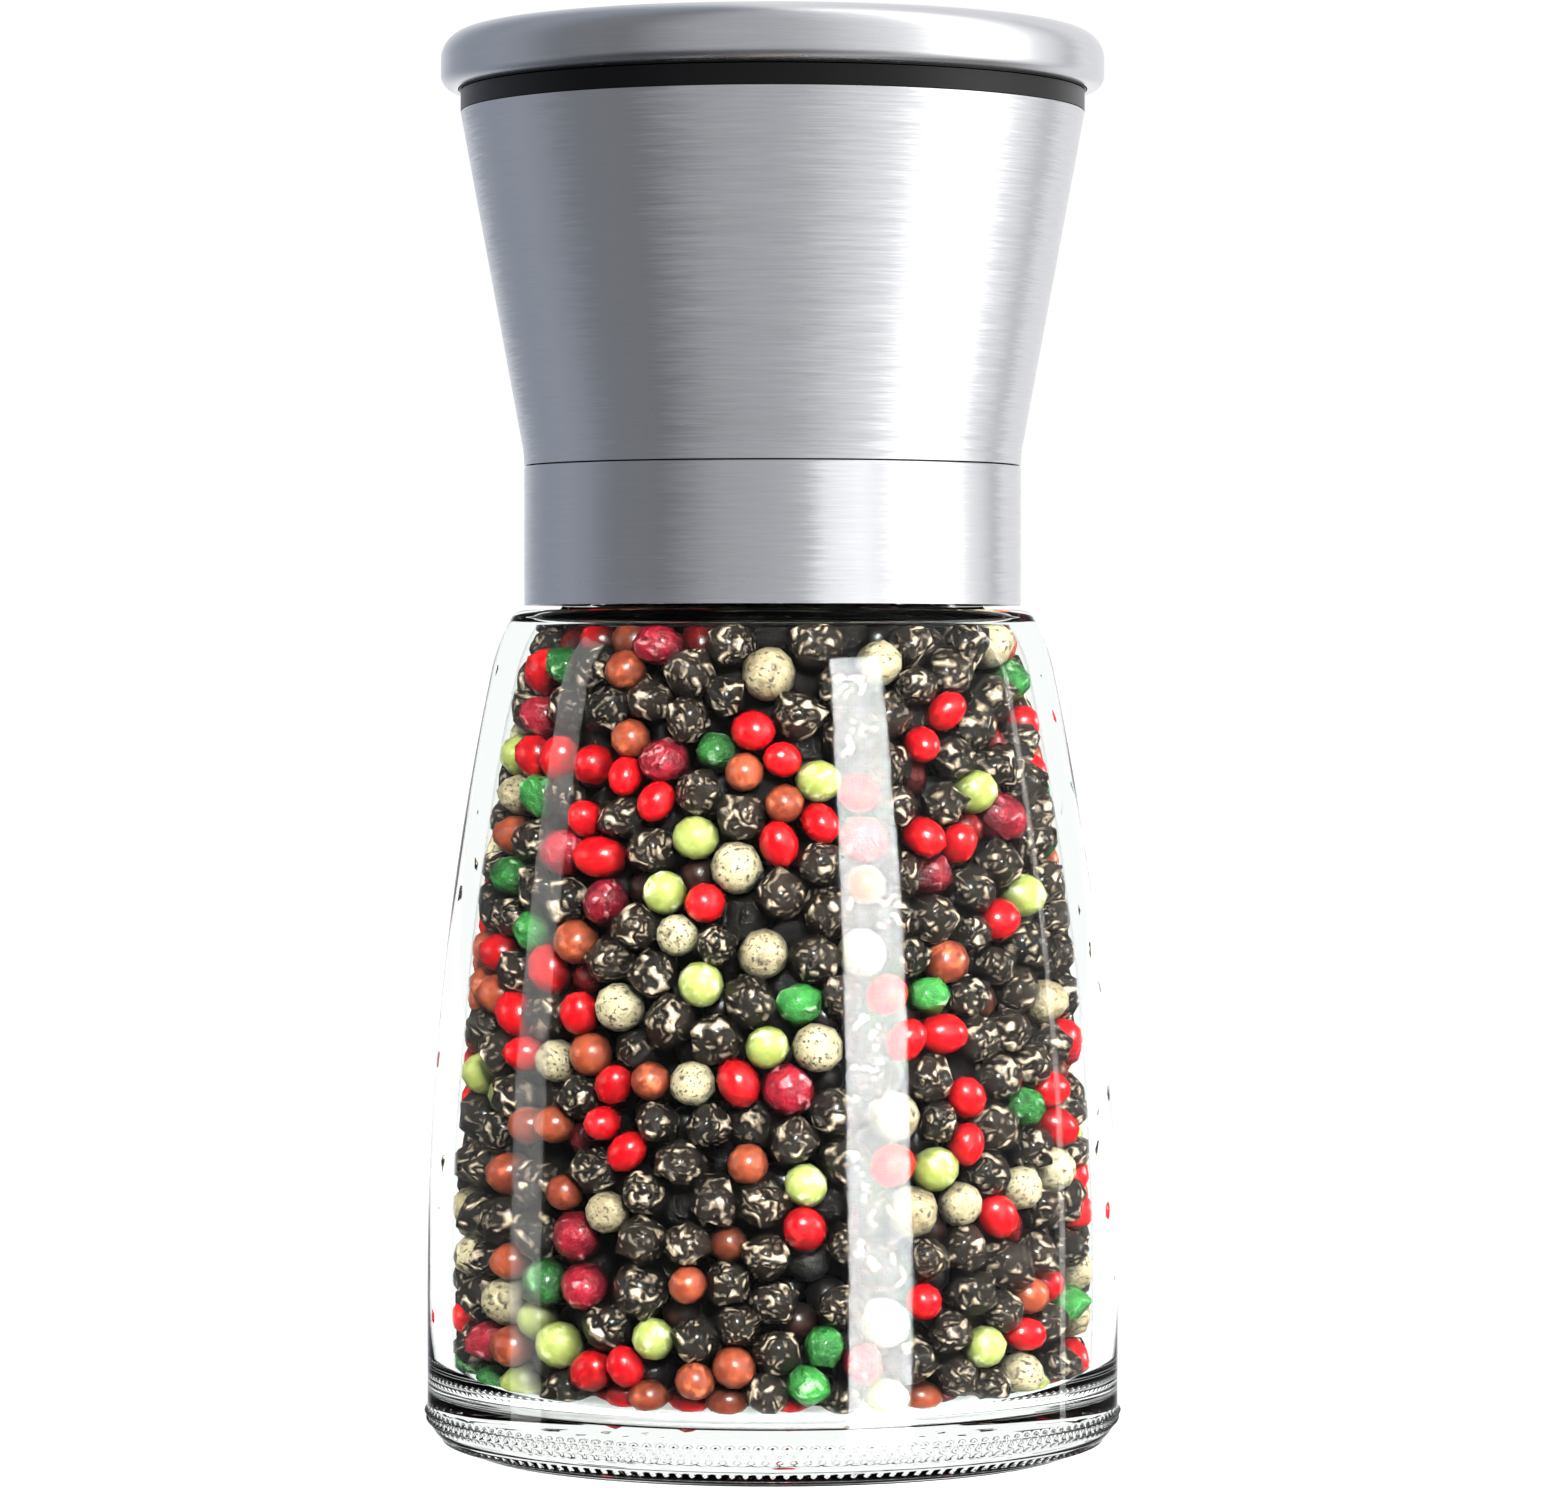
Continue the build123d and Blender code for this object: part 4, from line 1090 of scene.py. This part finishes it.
def seen_by_eye(tree):
    """Masks for a light: seen straight or through clear glass, and met off a berry's gloss.

    Light off a berry's gloss has passed the jar's wall twice, four faces, with a mirror bounce.
    """
    link = tree.links.new
    path = add(tree, "ShaderNodeLightPath")
    direct = add(tree, "ShaderNodeMath", "seen or seen through", operation="MAXIMUM")
    link(path.outputs["Is Camera Ray"], direct.inputs[0])
    link(path.outputs["Is Transmission Ray"], direct.inputs[1])
    unspread = add(
        tree, "ShaderNodeMath", "met no matt surface", {1: FIRST_BOUNCE}, operation="LESS_THAN"
    )
    link(path.outputs["Diffuse Depth"], unspread.inputs[0])
    mirrored = add(
        tree, "ShaderNodeMath", "met a glossy surface", {1: FIRST_BOUNCE}, operation="GREATER_THAN"
    )
    link(path.outputs["Glossy Depth"], mirrored.inputs[0])
    inside = add(
        tree, "ShaderNodeMath", "been in the hollow",
        {1: IN_AND_OUT_OF_JAR},
        operation="GREATER_THAN",
    )
    link(path.outputs["Transmission Depth"], inside.inputs[0])
    off_berry = add(tree, "ShaderNodeMath", "off a berry's gloss", operation="MULTIPLY")
    link(mirrored.outputs["Value"], off_berry.inputs[0])
    link(inside.outputs["Value"], off_berry.inputs[1])
    kept = add(tree, "ShaderNodeMath", operation="SUBTRACT", use_clamp=True)
    link(unspread.outputs["Value"], kept.inputs[0])
    link(off_berry.outputs["Value"], kept.inputs[1])
    seen = add(tree, "ShaderNodeMath", "seen by eye", operation="MULTIPLY")
    link(direct.outputs["Value"], seen.inputs[0])
    link(kept.outputs["Value"], seen.inputs[1])
    return path, seen.outputs["Value"], off_berry.outputs["Value"]


def studio_world():
    """White to the camera and through glass; to reflections, a room that is bright on the right."""
    world = bpy.data.worlds.new("studio")
    world.use_nodes = True
    tree = world.node_tree
    link = tree.links.new
    background = tree.nodes["Background"]
    place = add(tree, "ShaderNodeTexCoord")
    split = add(tree, "ShaderNodeSeparateXYZ")
    toward = add(tree, "ShaderNodeMath", values={1: -1.0}, operation="MULTIPLY")
    angle = add(tree, "ShaderNodeMath", "angle from the front", operation="ARCTAN2")
    turn = add(
        tree, "ShaderNodeMapRange", "turn of the room", {"From Min": -math.pi, "From Max": math.pi}
    )
    room = add(tree, "ShaderNodeValToRGB", "walls of the room")
    link(place.outputs["Generated"], split.inputs["Vector"])
    link(split.outputs["Y"], toward.inputs[0])
    link(split.outputs["X"], angle.inputs[0])
    link(toward.outputs["Value"], angle.inputs[1])
    link(angle.outputs["Value"], turn.inputs["Value"])
    link(turn.outputs["Result"], room.inputs["Fac"])
    ramp = room.color_ramp
    ramp.interpolation = "LINEAR"
    ramp.elements[0].color = (*ROOM_WALLS[0][1], 1)
    ramp.elements[1].color = (*ROOM_WALLS[-1][1], 1)
    for degrees, colour in ROOM_WALLS[1:-1]:
        ramp.elements.new((degrees + 180) / 360).color = (*colour, 1)
    low = add(
        tree, "ShaderNodeMapRange", "darker low down",
        {"From Min": LOW_END, "From Max": LOW_START, "To Min": LOW_SHARE, "To Max": 1.0},
        interpolation_type="SMOOTHSTEP",
    )
    link(split.outputs["Z"], low.inputs["Value"])
    path, seen, off_berry = seen_by_eye(tree)
    matt = add(
        tree, "ShaderNodeMath", "gathered by a matt surface",
        {1: FIRST_BOUNCE},
        operation="GREATER_THAN",
    )
    link(path.outputs["Diffuse Depth"], matt.inputs[0])
    gathered = add(tree, "ShaderNodeMath", "gathered by a berry", operation="MAXIMUM")
    link(matt.outputs["Value"], gathered.inputs[0])
    link(off_berry, gathered.inputs[1])
    spread = add(
        tree, "ShaderNodeMix", "less for matt surfaces",
        {"A": REFLECTED_LIGHT, "B": FILL_LIGHT},
        data_type="FLOAT",
    )
    link(gathered.outputs["Value"], spread.inputs["Factor"])
    lowered = add(tree, "ShaderNodeMath", operation="MULTIPLY")
    link(spread.outputs["Result"], lowered.inputs[0])
    link(low.outputs["Result"], lowered.inputs[1])
    choice = add(tree, "ShaderNodeMix", values={"B": (1, 1, 1, 1)}, data_type="RGBA")
    link(seen, choice.inputs["Factor"])
    link(room.outputs["Color"], choice.inputs["A"])
    strength = add(tree, "ShaderNodeMix", values={"B": 1.0}, data_type="FLOAT")
    link(seen, strength.inputs["Factor"])
    link(lowered.outputs["Value"], strength.inputs["A"])
    link(choice.outputs["Result"], background.inputs["Color"])
    link(strength.outputs["Result"], background.inputs["Strength"])
    return world


bpy.context.scene.world = studio_world()


def floor_material():
    """Pale matt board that glows a little, so the stand fades to white, with a painted shadow round the
    foot where the glow is turned down.
    """
    material, tree, shader = new_material("pale_floor_board")
    link = tree.links.new
    place = add(tree, "ShaderNodeTexCoord")
    fibre = add(tree, "ShaderNodeTexNoise", "board", {"Scale": 400.0})
    tone = add(
        tree, "ShaderNodeMix",
        values={"A": (0.80, 0.80, 0.80, 1), "B": (0.84, 0.84, 0.84, 1)},
        data_type="RGBA",
    )
    link(place.outputs["Object"], fibre.inputs["Vector"])
    link(fibre.outputs["Fac"], tone.inputs["Factor"])
    link(tone.outputs["Result"], shader.inputs["Base Color"])
    shader.inputs["Roughness"].default_value = 0.9
    shader.inputs["Specular IOR Level"].default_value = 0.0
    _, seen, _ = seen_by_eye(tree)
    reach = add(tree, "ShaderNodeVectorMath", operation="LENGTH")
    link(place.outputs["Object"], reach.inputs[0])
    # Painted shadow: the floor's glow drops near the jar's foot, so the floor round and under the foot
    # looks shaded.
    painted_shadow_round_foot = add(
        tree, "ShaderNodeMapRange", "shade round the foot",
        {"From Min": FOOT_INSIDE * MM, "From Max": (JAR_RADIUS + 1) * MM, "To Min": 0.3, "To Max": 0.93},
        interpolation_type="SMOOTHSTEP",
    )
    link(reach.outputs["Value"], painted_shadow_round_foot.inputs["Value"])
    glow = add(tree, "ShaderNodeMath", "glow", operation="MULTIPLY")
    link(seen, glow.inputs[0])
    link(painted_shadow_round_foot.outputs["Result"], glow.inputs[1])
    shader.inputs["Emission Color"].default_value = (1, 1, 1, 1)
    link(glow.outputs["Value"], shader.inputs["Emission Strength"])
    return material


FLOOR_REACH = 40.0
floor_mesh = bmesh.new()
bmesh.ops.create_circle(floor_mesh, cap_ends=True, segments=64, radius=FLOOR_REACH)
floor_data = bpy.data.meshes.new("floor")
floor_mesh.to_mesh(floor_data)
floor_mesh.free()
floor_data.materials.append(floor_material())
floor = bpy.data.objects.new("floor", floor_data)
bpy.context.scene.collection.objects.link(floor)
floor.visible_glossy = False


def soft_box(
    name, azimuth, elevation, distance, width, height, power, aim, only, mirrored_only=False
):
    """A rectangular lamp that lights some pieces; azimuth 0 is the front and 90 the right.

    One that is mirrored only shows as a highlight, and sends no light through the glass.
    """
    lamp = bpy.data.lights.new(name, "AREA")
    lamp.shape = "RECTANGLE"
    lamp.size = width
    lamp.size_y = height
    lamp.energy = power
    box = bpy.data.objects.new(name, lamp)
    turn, tilt = math.radians(azimuth), math.radians(elevation)
    way = Vector((math.sin(turn) * math.cos(tilt), -math.cos(turn) * math.cos(tilt), math.sin(tilt)))
    box.location = Vector(aim) + way * distance
    box.rotation_mode = "QUATERNION"
    box.rotation_quaternion = way.to_track_quat("Z", "Y")
    box.visible_camera = False
    box.visible_diffuse = not mirrored_only
    box.visible_transmission = not mirrored_only
    bpy.context.scene.collection.objects.link(box)
    group = bpy.data.collections.new(name + "_lights")
    for lit in only:
        group.objects.link(lit)
    box.light_linking.receiver_collection = group


berry_objects = [o for o in bpy.data.objects if o.name.startswith("peppercorns_")]
JAR_MIDDLE = (0, 0, 0.05)
RING_MIDDLE = (0, 0, 0.087)
# name, azimuth, elevation, distance, width, height, watts, aimed at, lights only, mirrored only
soft_box("glass_right_strip", 35, 3, 0.9, 0.34, 1.0, 290, JAR_MIDDLE, [jar], True)
soft_box("glass_left_strip", -88, 3, 0.9, 0.22, 1.0, 22, JAR_MIDDLE, [jar], True)
soft_box("glass_thin_strip", 110, 3, 0.9, 0.05, 1.0, 6, JAR_MIDDLE, [jar], True)
soft_box("ring_light", 33, 0, 0.9, 0.42, 1.0, 0.6, RING_MIDDLE, [ring])
soft_box("berry_key", 6, 26, 0.6, 0.08, 0.08, 9.5, JAR_MIDDLE, berry_objects)
soft_box("berry_left", -75, 12, 0.6, 0.12, 0.12, 1.6, JAR_MIDDLE, berry_objects)
soft_box("berry_right", 95, 12, 0.6, 0.12, 0.12, 2.6, JAR_MIDDLE, berry_objects)
soft_box("berry_back", 180, 20, 0.6, 0.12, 0.12, 9.0, JAR_MIDDLE, berry_objects)

EYE_HEIGHT = 0.0754
EYE_ASIDE = -0.0002
CAMERA_DISTANCE = 0.585
LENS = 143.0
LOOK_DOWN = math.radians(0.836)
camera_data = bpy.data.cameras.new("camera")
camera_data.lens = LENS
camera_data.sensor_width = 36.0
camera_data.clip_start = 0.05
camera_data.clip_end = 200.0
camera = bpy.data.objects.new("camera", camera_data)
camera.location = (EYE_ASIDE, -CAMERA_DISTANCE, EYE_HEIGHT)
camera.rotation_euler = (math.pi / 2 - LOOK_DOWN, 0, 0)
bpy.context.scene.collection.objects.link(camera)
bpy.context.scene.camera = camera
bpy.context.scene.view_settings.view_transform = "Standard"
